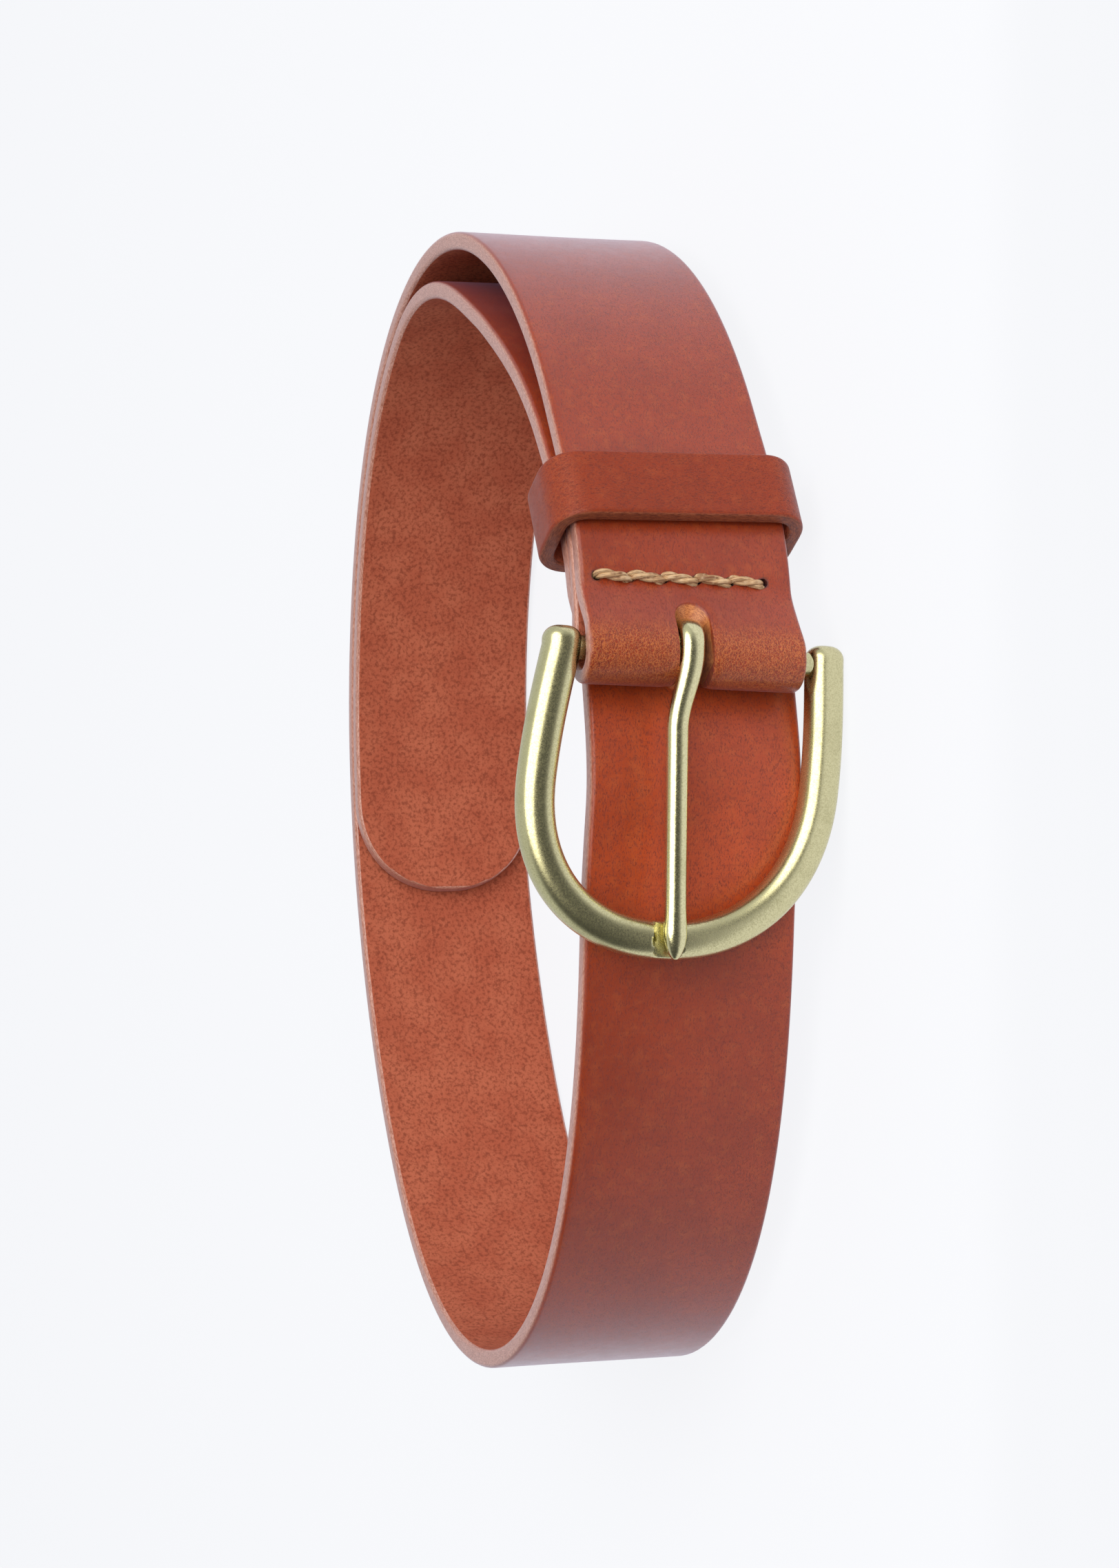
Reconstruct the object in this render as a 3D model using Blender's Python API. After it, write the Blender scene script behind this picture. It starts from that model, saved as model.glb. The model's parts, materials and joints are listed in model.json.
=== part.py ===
"""Leather belt rolled up on its edge, with a cast horseshoe buckle.

All sizes are in millimetres and are turned into metres when the meshes are made.
The plan of the roll lies in X and Y and the strap's width runs along Z.
"""
import math

import bmesh
import bpy
import numpy as np
from mathutils import Matrix, Vector
from mathutils.geometry import intersect_point_tri_2d

MM = 0.001

# Strap
STRAP_WIDTH = 40.0
STRAP_THICK = 3.6
FOLD_THICK = 2.7
FLAP_THICK = 2.2
FLAP_EDGE = 1.0
FLAP_SKIVE = 9.0
FLAP_LENGTH = 31.0
EDGE_ROUND = 0.9
LAYER_GAP = 0.3
TIP_ROUND = 21.0
TIP_SHOULDER = 2.2

# Plan of the roll, as a mean radius with an oval, an egg and a box swelling
COIL_RADIUS = 95.5
COIL_OVAL = 14.7
COIL_OVAL_TURN = math.radians(9.0)
COIL_EGG = 1.8
COIL_EGG_TURN = math.radians(70.5)
COIL_BOX = 1.6
COIL_BOX_TURN = math.radians(14.0)
COIL_DEPTH_SHIFT = 6.5
BAR_X = 22.0
TIP_REACH = 310.0
TIP_DROP = 2.0
TIP_DROP_RUN = 48.0
ROLL_GAP = 9.0
ROLL_GAP_START = 32.0
ROLL_GAP_RISE = 66.0
ROLL_GAP_HOLD = 6.0
ROLL_GAP_FADE = 68.0

# Turnback round the bar
BAR_STANDOFF = 4.0
CONVERGE = 12.0
STITCH_REST = 1.1
MAIN_SETTLE = 50.0
DIP_RUN = 26.0
SLOT_CLEAR = 1.05
SLOT_FRONT_INSET = 4.4
SLOT_BACK_INSET = 3.7
SLOT_RISE = 0.7

# Belt holes, counted from the tip
HOLE_SIZE = 4.6
HOLE_COUNT = 5
HOLE_FIRST = 160.0
HOLE_PITCH = 25.0

# Stitch row of the turnback
STITCH_ROW = 13.2
STITCH_COUNT = 5
STITCH_MARGIN = 4.3
STITCH_RISE = 1.2
THREAD_SIZE = 1.5
THREAD_FLAT = 1.2
THREAD_DIP = 0.6
THREAD_CLEAR = 0.25
THREAD_GROOVE = 0.9

# Buckle frame
BAR_SIZE = 4.4
BAR_CLEAR = 0.9
FRAME_LENGTH = 50.6
FRAME_SIDE_CLEAR = 1.4
FRAME_BELLY = 1.7
FRAME_WIDEST_AT = 22.6
FRAME_END_POWER = 2.2
FRAME_DRIFT = 4.3
FRAME_DROP = 1.1
FRAME_TOP = 3.6
FRAME_TOP_ROUND = 2.5
WIRE_WIDTH = 6.8
WIRE_DEPTH = 6.6
WIRE_POWER = 2.3
FRAME_SEAT = 0.5
BUCKLE_SKEW = math.radians(4.0)
SKEW_AT_FOLD = 0.6
SKEW_AT_STITCH = 0.5
SKEW_END = 40.0
NOTCH_CLEAR_INNER = 2.0
NOTCH_CLEAR_OUTER = 1.1
NOTCH_SHIFT = 0.9
NOTCH_FLOOR = 0.7
NOTCH_DEPTH = 1.5
NOTCH_OVERRUN = 1.0

# Prong
PRONG_WIDTH = 3.85
PRONG_LOOP_WIDTH = 4.4
PRONG_THICK = 3.2
PRONG_CLEAR = 1.0
PRONG_TIP = 4.6
PRONG_TIP_POWER = 1.7
PRONG_TIP_SIZE = 0.5
PRONG_LEAF = 0.3
PRONG_LEAF_RUN = 3.0
PRONG_ROUND = 0.75
PRONG_RISE = 0.5
PRONG_SIDE = 0.3
PRONG_SWAY = 2.25
PRONG_SWAY_RUN = 13.5
PRONG_SWAY_BACK = 1.25
PRONG_SEAT_GAP = 0.3
LOOP_WRAP = math.radians(285.0)

# Keeper
KEEPER_AT = 29.6
KEEPER_WIDTH = 13.6
KEEPER_THICK = 3.0
KEEPER_TOP_CLEAR = 0.9
KEEPER_BOTTOM_CLEAR = 1.1
KEEPER_CLEAR = 0.6
KEEPER_CORNER = 2.6
KEEPER_PINCH = 0.3
KEEPER_EDGE = 0.7
KEEPER_SLIT = 0.5
KEEPER_SLIDE_BACK = 4.0
KEEPER_SLIDE_FORE = 5.0
KEEPER_SLIDE_MARGIN = 1.0
KEEPER_STITCH_GAUGE = 6.6
KEEPER_STITCH_SPAN = 8.0

# Spacing of the sections along the strap and steps round the curves
FINE_PITCH = 2.6
COARSE_PITCH = 5.5
FOLD_STEPS = 16
TIP_STEPS = 12
ROUND_STEPS = 16
LOOP_STEPS = 22
SHANK_STEPS = 26
TANGENT_STEP = 0.05
COIL_TANGENT = 1.0

HALF = STRAP_WIDTH / 2
STITCH_PITCH = (STRAP_WIDTH - 2 * STITCH_MARGIN) / STITCH_COUNT
THREAD_HOLE = THREAD_SIZE + 2 * THREAD_CLEAR
SLOT_WIDTH = PRONG_LOOP_WIDTH + 2 * SLOT_CLEAR
SLOT_FRONT = STITCH_ROW - SLOT_FRONT_INSET
SLOT_BACK = STITCH_ROW - SLOT_BACK_INSET
FRAME_HALF_AT_BAR = HALF + FRAME_SIDE_CLEAR + WIRE_WIDTH / 2
FRAME_HALF_WIDEST = FRAME_HALF_AT_BAR + FRAME_BELLY
BAR_RADIUS = BAR_SIZE / 2
FOLD_MID = BAR_RADIUS + BAR_CLEAR + FOLD_THICK / 2
FOLD_OUT = BAR_RADIUS + BAR_CLEAR + FOLD_THICK
FOLD_ARC = math.pi * FOLD_MID
PRONG_OUT = BAR_RADIUS + PRONG_CLEAR + PRONG_THICK
PRONG_LENGTH = FRAME_LENGTH + WIRE_WIDTH / 2


def smooth(x):
    x = min(1.0, max(0.0, x))
    return x * x * (3 - 2 * x)


def ramp(x, x0, x1, a, b):
    return a + (b - a) * smooth((x - x0) / (x1 - x0))


# Plan curve of the roll, sampled by length from the bar
ANGLES = np.linspace(0, 2 * math.pi, 2881)
RADII = (COIL_RADIUS + COIL_OVAL * np.cos(2 * (ANGLES - COIL_OVAL_TURN))
         + COIL_EGG * np.cos(3 * (ANGLES - COIL_EGG_TURN))
         + COIL_BOX * np.cos(4 * (ANGLES - COIL_BOX_TURN)))
PLAN_X = RADII * np.cos(ANGLES)
PLAN_Y = RADII * np.sin(ANGLES) + COIL_DEPTH_SHIFT
RUN = np.concatenate([[0], np.cumsum(np.hypot(np.diff(PLAN_X), np.diff(PLAN_Y)))])
TURN = float(RUN[-1])
FRONT = (PLAN_Y < 0) & (PLAN_X > -COIL_RADIUS / 2) & (PLAN_X < COIL_RADIUS / 2)
BAR_RUN = float(np.interp(BAR_X, PLAN_X[FRONT], RUN[FRONT]))


def coil(run):
    """Point and outward normal of the plan curve at a length from the bar."""
    def at(r):
        r = (r + BAR_RUN) % TURN
        return np.array([np.interp(r, RUN, PLAN_X), np.interp(r, RUN, PLAN_Y)])
    step = at(run + COIL_TANGENT) - at(run - COIL_TANGENT)
    step = step / np.hypot(*step)
    return at(run), np.array([step[1], -step[0]])


def seam_offset(run):
    """Offset of the line between the main layer and the turned-back flap."""
    near = ramp(run, 0, STITCH_ROW, BAR_STANDOFF, STITCH_REST)
    far = -(STRAP_THICK + LAYER_GAP) / 2 - STITCH_REST
    return near + ramp(run, STITCH_ROW, MAIN_SETTLE, 0, far)


def main_thick(run):
    return ramp(run, 0, CONVERGE, FOLD_THICK, STRAP_THICK)


def flap_thick(run):
    return ramp(run, 0, CONVERGE, FOLD_THICK, FLAP_THICK)


def main_offset(run):
    if run > MAIN_SETTLE:
        return 0.0
    half = ramp(run, 0, CONVERGE, FOLD_MID, (STRAP_THICK + LAYER_GAP) / 2)
    return seam_offset(run) + half


def flap_edge_thick(run):
    skive = ramp(run, FLAP_LENGTH - FLAP_SKIVE, FLAP_LENGTH, 0, FLAP_THICK - FLAP_EDGE)
    return flap_thick(run) - skive


def flap_offset(run):
    half = ramp(run, 0, CONVERGE, FOLD_MID, (flap_edge_thick(run) + LAYER_GAP) / 2)
    return seam_offset(run) - half


def tip_offset(run):
    """Offset of the tip layer, with run counted from the bar on the second turn."""
    turnback_out = max(FOLD_OUT, PRONG_OUT)
    behind_bar = BAR_STANDOFF - turnback_out - LAYER_GAP - STRAP_THICK / 2
    if run < 0:
        return ramp(run, -DIP_RUN, 0, 0, behind_bar)
    full = ramp(run, 0, CONVERGE, turnback_out, FLAP_THICK + LAYER_GAP / 2)
    under_flap = seam_offset(run) - full - LAYER_GAP - STRAP_THICK / 2
    settled = -(STRAP_THICK + LAYER_GAP)
    held = ROLL_GAP_START + ROLL_GAP_RISE + ROLL_GAP_HOLD
    if run > held:
        return settled - ramp(run, held, held + ROLL_GAP_FADE, ROLL_GAP, 0)
    share = smooth((run - ROLL_GAP_START) / ROLL_GAP_RISE)
    return under_flap * (1 - share) + (settled - ROLL_GAP) * share


BAR_BASE, BAR_OUT = coil(0.0)
BAR_CENTRE = BAR_BASE + BAR_OUT * BAR_STANDOFF
BAR_ALONG = np.array([-BAR_OUT[1], BAR_OUT[0]])


def frame_half(x):
    """Half-width of the frame's middle line at a distance from the bar."""
    if x < FRAME_WIDEST_AT:
        rise = math.sin(math.pi / 2 * max(0.0, x) / FRAME_WIDEST_AT)
        return FRAME_HALF_AT_BAR + (FRAME_HALF_WIDEST - FRAME_HALF_AT_BAR) * rise
    left = min(1.0, (x - FRAME_WIDEST_AT) / (FRAME_LENGTH - FRAME_WIDEST_AT))
    return FRAME_HALF_WIDEST * (1 - left ** FRAME_END_POWER) ** (1 / FRAME_END_POWER)


def seat_angle():
    """Turn of the frame about the bar at which its end lies on the strap."""
    reach = FRAME_LENGTH + WIRE_WIDTH / 2
    stand = STRAP_THICK / 2 + WIRE_DEPTH / 2 + FRAME_SEAT
    turns = []
    for i in range(61):
        x = reach * i / 60
        if frame_half(x) - WIRE_WIDTH / 2 < HALF + FRAME_SEAT:
            base, out = coil(-x)
            way = base + out * stand - BAR_CENTRE
            turns.append(math.atan2(way @ BAR_OUT, -way @ BAR_ALONG))
    return max(turns)


SEAT_TURN = seat_angle()
FRAME_ALONG = BAR_ALONG * math.cos(SEAT_TURN) - BAR_OUT * math.sin(SEAT_TURN)
FRAME_OUT = np.array([FRAME_ALONG[1], -FRAME_ALONG[0]])


def strap_centre(p):
    """Middle of the strap in plan: flap below -FOLD_ARC, fold to 0, then the roll."""
    if p < -FOLD_ARC:
        run = -p - FOLD_ARC
        base, out = coil(run)
        return base + out * flap_offset(run)
    if p < 0:
        turn = (p + FOLD_ARC) / FOLD_MID
        return BAR_CENTRE - FOLD_MID * (BAR_OUT * math.cos(turn) + BAR_ALONG * math.sin(turn))
    base, out = coil(p)
    if p < TURN - DIP_RUN:
        return base + out * main_offset(p)
    return base + out * tip_offset(p - TURN)


def strap_thick(p):
    if p < -FOLD_ARC:
        return flap_edge_thick(-p - FOLD_ARC)
    if p < 0:
        return FOLD_THICK
    return main_thick(p)


def bar_run(p):
    """Length from the bar along whichever layer this place belongs to."""
    if p < -FOLD_ARC:
        return -p - FOLD_ARC
    if p < 0:
        return 0.0
    return p if p < TURN / 2 else p - TURN


def skew_share(run):
    """How much of the buckle's skew the strap takes up at this length from the bar."""
    if run < 0:
        return ramp(run, -DIP_RUN, 0, 0, SKEW_AT_FOLD)
    if run < STITCH_ROW:
        return ramp(run, 0, STITCH_ROW, SKEW_AT_FOLD, SKEW_AT_STITCH)
    return ramp(run, STITCH_ROW, SKEW_END, SKEW_AT_STITCH, 0)


RISE_RUN = np.linspace(0, SKEW_END, 81)
RISE_SLOPE = np.array([skew_share(run) for run in RISE_RUN]) * math.tan(BUCKLE_SKEW)
RISE = np.concatenate([[0], np.cumsum((RISE_SLOPE[1:] + RISE_SLOPE[:-1]) / 2 * np.diff(RISE_RUN))])


def end_rise(p):
    """Lift of the strap's buckle end, which turns in its own plane, and drop of the layer behind it."""
    run = bar_run(p)
    if p < TURN / 2:
        return float(RISE[-1] - np.interp(run, RISE_RUN, RISE))
    if run < 0:
        return ramp(run, -TIP_DROP_RUN, 0, 0, -TIP_DROP)
    return ramp(run, 0, STITCH_ROW, -TIP_DROP, 0)


def strap_point(p, z, n):
    """Place in space of a point of the strap, n being measured to the grain side."""
    step = strap_centre(p + TANGENT_STEP) - strap_centre(p - TANGENT_STEP)
    step = step / np.hypot(*step)
    plan = strap_centre(p) + np.array([step[1], -step[0]]) * n
    lean = math.tan(BUCKLE_SKEW) * skew_share(bar_run(p))
    plan = plan + FRAME_ALONG * (lean * (z - HALF))
    return Vector((plan[0], plan[1], z + end_rise(p)))


def spaced(start, stop, pitch):
    count = max(1, round((stop - start) / pitch))
    return [start + (stop - start) * i / count for i in range(count)]


def make_material(name, colour, roughness, metallic):
    material = bpy.data.materials.new(name)
    material.use_nodes = True
    shader = material.node_tree.nodes["Principled BSDF"]
    shader.inputs["Base Color"].default_value = (*colour, 1.0)
    shader.inputs["Roughness"].default_value = roughness
    shader.inputs["Metallic"].default_value = metallic
    return material


def finish_mesh(mesh, sharp=35.0):
    work = bmesh.new()
    work.from_mesh(mesh)
    bmesh.ops.recalc_face_normals(work, faces=work.faces)
    work.to_mesh(mesh)
    work.free()
    mesh.shade_smooth()
    mesh.set_sharp_from_angle(angle=math.radians(sharp))


def add_object(name, mesh, material, matrix=None):
    mesh.materials.clear()
    mesh.materials.append(material)
    item = bpy.data.objects.new(name, mesh)
    bpy.context.collection.objects.link(item)
    if matrix is not None:
        item.matrix_world = matrix
    return item


def mesh_from(name, points, faces):
    mesh = bpy.data.meshes.new(name)
    mesh.from_pydata([Vector(p) * MM for p in points], [], faces)
    return mesh


def swept(rings, closed):
    """Points and faces of a skin over equal rings, capped where it is open."""
    size = len(rings[0])
    points = [p for ring in rings for p in ring]
    faces = []
    count = len(rings)
    for i in range(count if closed else count - 1):
        a = i * size
        b = (i + 1) % count * size
        for j in range(size):
            k = (j + 1) % size
            faces.append((a + j, a + k, b + k, b + j))
    if not closed:
        faces.append(tuple(reversed(range(size))))
        faces.append(tuple(range((count - 1) * size, count * size)))
    return points, faces


def rounded_section(half_a, half_b, edge, steps=2):
    """Corner-rounded rectangle, counter-clockwise."""
    section = []
    for quarter in range(4):
        sign_a = 1 if quarter in (0, 3) else -1
        sign_b = 1 if quarter in (0, 1) else -1
        for i in range(steps + 1):
            turn = math.pi / 2 * (quarter + i / steps)
            section.append((sign_a * (half_a - edge) + edge * math.cos(turn),
                            sign_b * (half_b - edge) + edge * math.sin(turn)))
    return section


def prism(outline, low, high):
    count = len(outline)
    points = [(a, b, low) for a, b in outline] + [(a, b, high) for a, b in outline]
    faces = [tuple(reversed(range(count))), tuple(range(count, 2 * count))]
    for i in range(count):
        k = (i + 1) % count
        faces.append((i, k, count + k, count + i))
    return points, faces


def merged(parts):
    points = []
    faces = []
    for part_points, part_faces in parts:
        base = len(points)
        points.extend(part_points)
        faces.extend(tuple(base + i for i in face) for face in part_faces)
    return points, faces


def round_outline(at, middle, size):
    turns = [2 * math.pi * (i + 0.5) / ROUND_STEPS for i in range(ROUND_STEPS)]
    return [(at + size / 2 * math.cos(turn), middle + size / 2 * math.sin(turn)) for turn in turns]


def square_outline(at, middle, size):
    return [(at + a * size / 2, middle + b * size / 2)
            for a, b in ((-1, -1), (1, -1), (1, 1), (-1, 1))]


def worked_mesh(name, solid, steps):
    """Mesh of one solid after each step, which joins or takes out a group of other solids."""
    body = bpy.data.objects.new(name, mesh_from(name, *solid))
    used = [body]
    for operation, others in steps:
        tool = bpy.data.objects.new(name + "_tool", mesh_from(name + "_tool", *merged(others)))
        work = body.modifiers.new("work", "BOOLEAN")
        work.operation = operation
        work.solver = "EXACT"
        work.object = tool
        used.append(tool)
    for item in used:
        finish_mesh(item.data)
        bpy.context.collection.objects.link(item)
    graph = bpy.context.evaluated_depsgraph_get()
    mesh = bpy.data.meshes.new_from_object(body.evaluated_get(graph))
    for item in used:
        old = item.data
        bpy.data.objects.remove(item)
        bpy.data.meshes.remove(old)
    return mesh


def stitch_heights():
    span = STITCH_PITCH * STITCH_COUNT
    low = HALF + STITCH_RISE - span / 2
    return [low + STITCH_PITCH * i for i in range(STITCH_COUNT + 1)]


def strap_mesh():
    """Flat strap with its slot and holes, then bent along the roll."""
    tip_end = TURN + TIP_REACH
    dip_start = TURN - DIP_RUN - 2 * COARSE_PITCH
    stations = spaced(-FOLD_ARC - FLAP_LENGTH, -FOLD_ARC, FINE_PITCH)
    stations += spaced(-FOLD_ARC, 0, FOLD_ARC / FOLD_STEPS)
    stations += spaced(0, MAIN_SETTLE, FINE_PITCH)
    stations += spaced(MAIN_SETTLE, dip_start, COARSE_PITCH)
    stations += spaced(dip_start, TURN + MAIN_SETTLE, FINE_PITCH)
    stations += spaced(TURN + MAIN_SETTLE, tip_end - TIP_ROUND, COARSE_PITCH)
    for i in range(TIP_STEPS):
        stations.append(tip_end - TIP_ROUND * (1 - math.sin(math.pi / 2 * i / TIP_STEPS)))
    stations.append(tip_end - TANGENT_STEP)
    rings = []
    for p in stations:
        half = HALF
        left = 1 - (tip_end - p) / TIP_ROUND
        if left > 0:
            half = HALF * (1 - left ** TIP_SHOULDER) ** (1 / TIP_SHOULDER)
        edge = min(EDGE_ROUND, half)
        rings.append([(p, HALF + a, b)
                      for a, b in rounded_section(half, STRAP_THICK / 2, edge)])
    high = STRAP_THICK
    cutters = []
    slot = []
    middle = HALF + SLOT_RISE
    for i in range(TIP_STEPS + 1):
        turn = math.pi * (i / TIP_STEPS - 0.5)
        slot.append((SLOT_FRONT - SLOT_WIDTH / 2 * (1 - math.cos(turn)),
                     middle + SLOT_WIDTH / 2 * math.sin(turn)))
    for i in range(TIP_STEPS + 1):
        turn = math.pi * (i / TIP_STEPS + 0.5)
        slot.append((-FOLD_ARC - SLOT_BACK + SLOT_WIDTH / 2 * (1 + math.cos(turn)),
                     middle + SLOT_WIDTH / 2 * math.sin(turn)))
    cutters.append(prism(slot, -high, high))
    for i in range(HOLE_COUNT):
        at = tip_end - HOLE_FIRST - HOLE_PITCH * i
        cutters.append(prism(round_outline(at, HALF, HOLE_SIZE), -high, high))
    for z in stitch_heights():
        cutters.append(prism(square_outline(STITCH_ROW, z, THREAD_HOLE), -high, high))
        cutters.append(prism(square_outline(-FOLD_ARC - STITCH_ROW, z, THREAD_HOLE), -high, high))
    heights = stitch_heights()
    side = THREAD_HOLE / 2
    groove = [(-FOLD_ARC - STITCH_ROW - side, heights[0] - side),
              (-FOLD_ARC - STITCH_ROW + side, heights[0] - side),
              (-FOLD_ARC - STITCH_ROW + side, heights[-1] + side),
              (-FOLD_ARC - STITCH_ROW - side, heights[-1] + side)]
    floor = STRAP_THICK * (0.5 - THREAD_GROOVE / FLAP_THICK)
    steps = [("DIFFERENCE", cutters), ("DIFFERENCE", [prism(groove, floor, high)])]
    mesh = worked_mesh("strap", swept(rings, False), steps)
    work = bmesh.new()
    work.from_mesh(mesh)
    bmesh.ops.triangulate(work, faces=work.faces)
    for vert in work.verts:
        p, z, n = vert.co / MM
        n = n * strap_thick(p) / STRAP_THICK
        vert.co = strap_point(p, z, n) * MM
    work.to_mesh(mesh)
    work.free()
    finish_mesh(mesh)
    return mesh


def cell_solid(lines, solid):
    """Outer skin of the chosen cells of a box grid."""
    points = []
    index = {}
    faces = []

    def corner(key):
        if key not in index:
            index[key] = len(points)
            points.append(tuple(lines[axis][key[axis]] for axis in range(3)))
        return index[key]

    for cell in sorted(solid):
        for axis in range(3):
            for side in (0, 1):
                beside = list(cell)
                beside[axis] += 2 * side - 1
                if tuple(beside) in solid:
                    continue
                u = (axis + 1) % 3
                v = (axis + 2) % 3
                ring = []
                for du, dv in ((0, 0), (1, 0), (1, 1), (0, 1)):
                    key = list(cell)
                    key[axis] += side
                    key[u] += du
                    key[v] += dv
                    ring.append(corner(tuple(key)))
                faces.append(tuple(ring if side else reversed(ring)))
    return points, faces


def turnback_thread_mesh():
    """Run of stitches: front stitches that dip into the holes and a sunk back run."""
    half = THREAD_SIZE / 2
    rows = []
    dips = []
    for i, z in enumerate(stitch_heights()):
        if i:
            rows.append(z - STITCH_PITCH / 2)
            dips.append(0.0)
        rows += [z - half, z + half]
        dips += [THREAD_DIP, THREAD_DIP]
    front = STRAP_THICK / 2 + THREAD_CLEAR / 2
    back = -STRAP_THICK / 2 - LAYER_GAP - FLAP_THICK
    depths = [back, back + THREAD_GROOVE - THREAD_CLEAR, front, front + THREAD_SIZE]
    lines = [[-half, half], rows, depths]
    solid = set()
    for j in range(len(rows) - 1):
        solid.add((0, j, 2))
        solid.add((0, j, 0))
        if j % 3 == 0:
            solid.add((0, j, 1))
    points, faces = cell_solid(lines, solid)
    placed = []
    for dx, z, n in points:
        if n == depths[3]:
            n -= dips[rows.index(z)]
        placed.append(strap_point(STITCH_ROW + dx, z, n))
    mesh = mesh_from("turnback_thread", placed, faces)
    finish_mesh(mesh)
    return mesh


def frame_mesh():
    """Horseshoe with rounded ends, joined by the round bar, with a seat for the prong."""
    quarter = []
    for i in range(5):
        turn = math.pi / 2 * (1 - i / 4)
        inset = FRAME_TOP_ROUND * (1 - math.cos(turn))
        quarter.append((FRAME_TOP - FRAME_TOP_ROUND * (1 - math.sin(turn)), FRAME_HALF_AT_BAR, inset))
    for i in range(10):
        x = FRAME_WIDEST_AT * i / 9
        quarter.append((-x, frame_half(x), 0.0))
    for i in range(1, 17):
        turn = math.pi / 2 * i / 16
        side = FRAME_HALF_WIDEST * math.cos(turn) ** (2 / FRAME_END_POWER)
        along = math.sin(turn) ** (2 / FRAME_END_POWER)
        quarter.append((-FRAME_WIDEST_AT - (FRAME_LENGTH - FRAME_WIDEST_AT) * along, side, 0.0))
    path = quarter + [(x, -z, inset) for x, z, inset in reversed(quarter[:-1])]
    drifted = [Vector((x, z - FRAME_DRIFT * min(0.0, x) / FRAME_LENGTH)) for x, z, _ in path]
    rings = []
    last = len(path) - 1
    for i, (_, _, inset) in enumerate(path):
        along = (drifted[min(last, i + 1)] - drifted[max(0, i - 1)]).normalized()
        across = Vector((along[1], -along[0]))
        ring = []
        for k in range(ROUND_STEPS):
            turn = 2 * math.pi * k / ROUND_STEPS
            c = math.cos(turn)
            s = math.sin(turn)
            a = (WIRE_WIDTH / 2 - inset) * math.copysign(abs(c) ** (2 / WIRE_POWER), c)
            b = (WIRE_DEPTH / 2 - inset) * math.copysign(abs(s) ** (2 / WIRE_POWER), s)
            ring.append((drifted[i][0] + across[0] * a, b, drifted[i][1] + across[1] * a))
        rings.append(ring)
    bar = prism(round_outline(0.0, 0.0, BAR_SIZE), -FRAME_HALF_AT_BAR, FRAME_HALF_AT_BAR)
    inner = -FRAME_LENGTH + WIRE_WIDTH
    outer = -FRAME_LENGTH - WIRE_WIDTH / 2 - NOTCH_OVERRUN
    front = -WIRE_DEPTH
    floor = -WIRE_DEPTH / 2 + NOTCH_DEPTH
    middle = prong_height(-PRONG_LENGTH) + NOTCH_SHIFT
    wedge = []
    for y, wide in ((front, 1.0), (floor, NOTCH_FLOOR)):
        near = (PRONG_WIDTH / 2 + NOTCH_CLEAR_INNER) * wide
        far = (PRONG_WIDTH / 2 + NOTCH_CLEAR_OUTER) * wide
        wedge += [(inner, y, middle - near), (inner, y, middle + near),
                  (outer, y, middle + far), (outer, y, middle - far)]
    wedge_faces = [(0, 1, 2, 3), (7, 6, 5, 4), (0, 4, 5, 1), (1, 5, 6, 2), (2, 6, 7, 3), (3, 7, 4, 0)]
    steps = [("UNION", [bar]), ("DIFFERENCE", [(wedge, wedge_faces)])]
    mesh = worked_mesh("buckle_frame", swept(rings, False), steps)
    finish_mesh(mesh)
    return mesh


def prong_height(x):
    """Height of the prong's middle over the frame's, which sways and then runs slowly back."""
    sway = PRONG_SIDE + PRONG_SWAY * smooth(-x / PRONG_SWAY_RUN)
    back = max(0.0, -x - PRONG_SWAY_RUN) / (PRONG_LENGTH - PRONG_SWAY_RUN)
    return SLOT_RISE + FRAME_DROP + sway - PRONG_SWAY_BACK * back


def prong_mesh():
    """Bar bent loosely round the frame's bar, then a swayed shank to a leaf-shaped point."""
    loop = PRONG_OUT - PRONG_THICK / 2
    seat = WIRE_DEPTH / 2 - NOTCH_DEPTH + PRONG_SEAT_GAP + PRONG_THICK / 2
    path = []
    for i in range(LOOP_STEPS):
        turn = math.pi / 2 - LOOP_WRAP * (1 - i / LOOP_STEPS)
        path.append((loop * math.cos(turn), loop * math.sin(turn)))
    straight = PRONG_LENGTH - PRONG_TIP
    runs = [straight * i / SHANK_STEPS for i in range(SHANK_STEPS)]
    runs += [straight + PRONG_TIP * math.sin(math.pi / 2 * i / TIP_STEPS) for i in range(TIP_STEPS + 1)]
    for run in runs:
        path.append((-run, loop + (seat + PRONG_RISE - loop) * smooth(run / PRONG_LENGTH)))
    rings = []
    count = len(path)
    for i, (x, y) in enumerate(path):
        before = Vector(path[max(0, i - 1)])
        after = Vector(path[min(count - 1, i + 1)])
        along = (after - before).normalized()
        out = Vector((along[1], -along[0]))
        run = -x if i >= LOOP_STEPS else 0.0
        drawn = min(1.0, max(0.0, run - straight) / PRONG_TIP)
        taper = (1 - drawn ** PRONG_TIP_POWER) ** (1 / PRONG_TIP_POWER)
        leaf = PRONG_LEAF * math.exp(-((run - straight) / PRONG_LEAF_RUN) ** 2)
        width = ramp(run, 0, PRONG_SWAY_RUN, PRONG_LOOP_WIDTH, PRONG_WIDTH) + leaf
        half_a = (PRONG_TIP_SIZE + (PRONG_THICK - PRONG_TIP_SIZE) * taper) / 2
        half_b = (PRONG_TIP_SIZE + (width - PRONG_TIP_SIZE) * taper) / 2
        ring = []
        for a, b in rounded_section(half_a, half_b, PRONG_ROUND * min(half_a, half_b), 3):
            ring.append((x + out[0] * a, -(y + out[1] * a), prong_height(-run) + b))
        rings.append(ring)
    mesh = mesh_from("prong", *swept(rings, False))
    finish_mesh(mesh)
    return mesh


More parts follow.
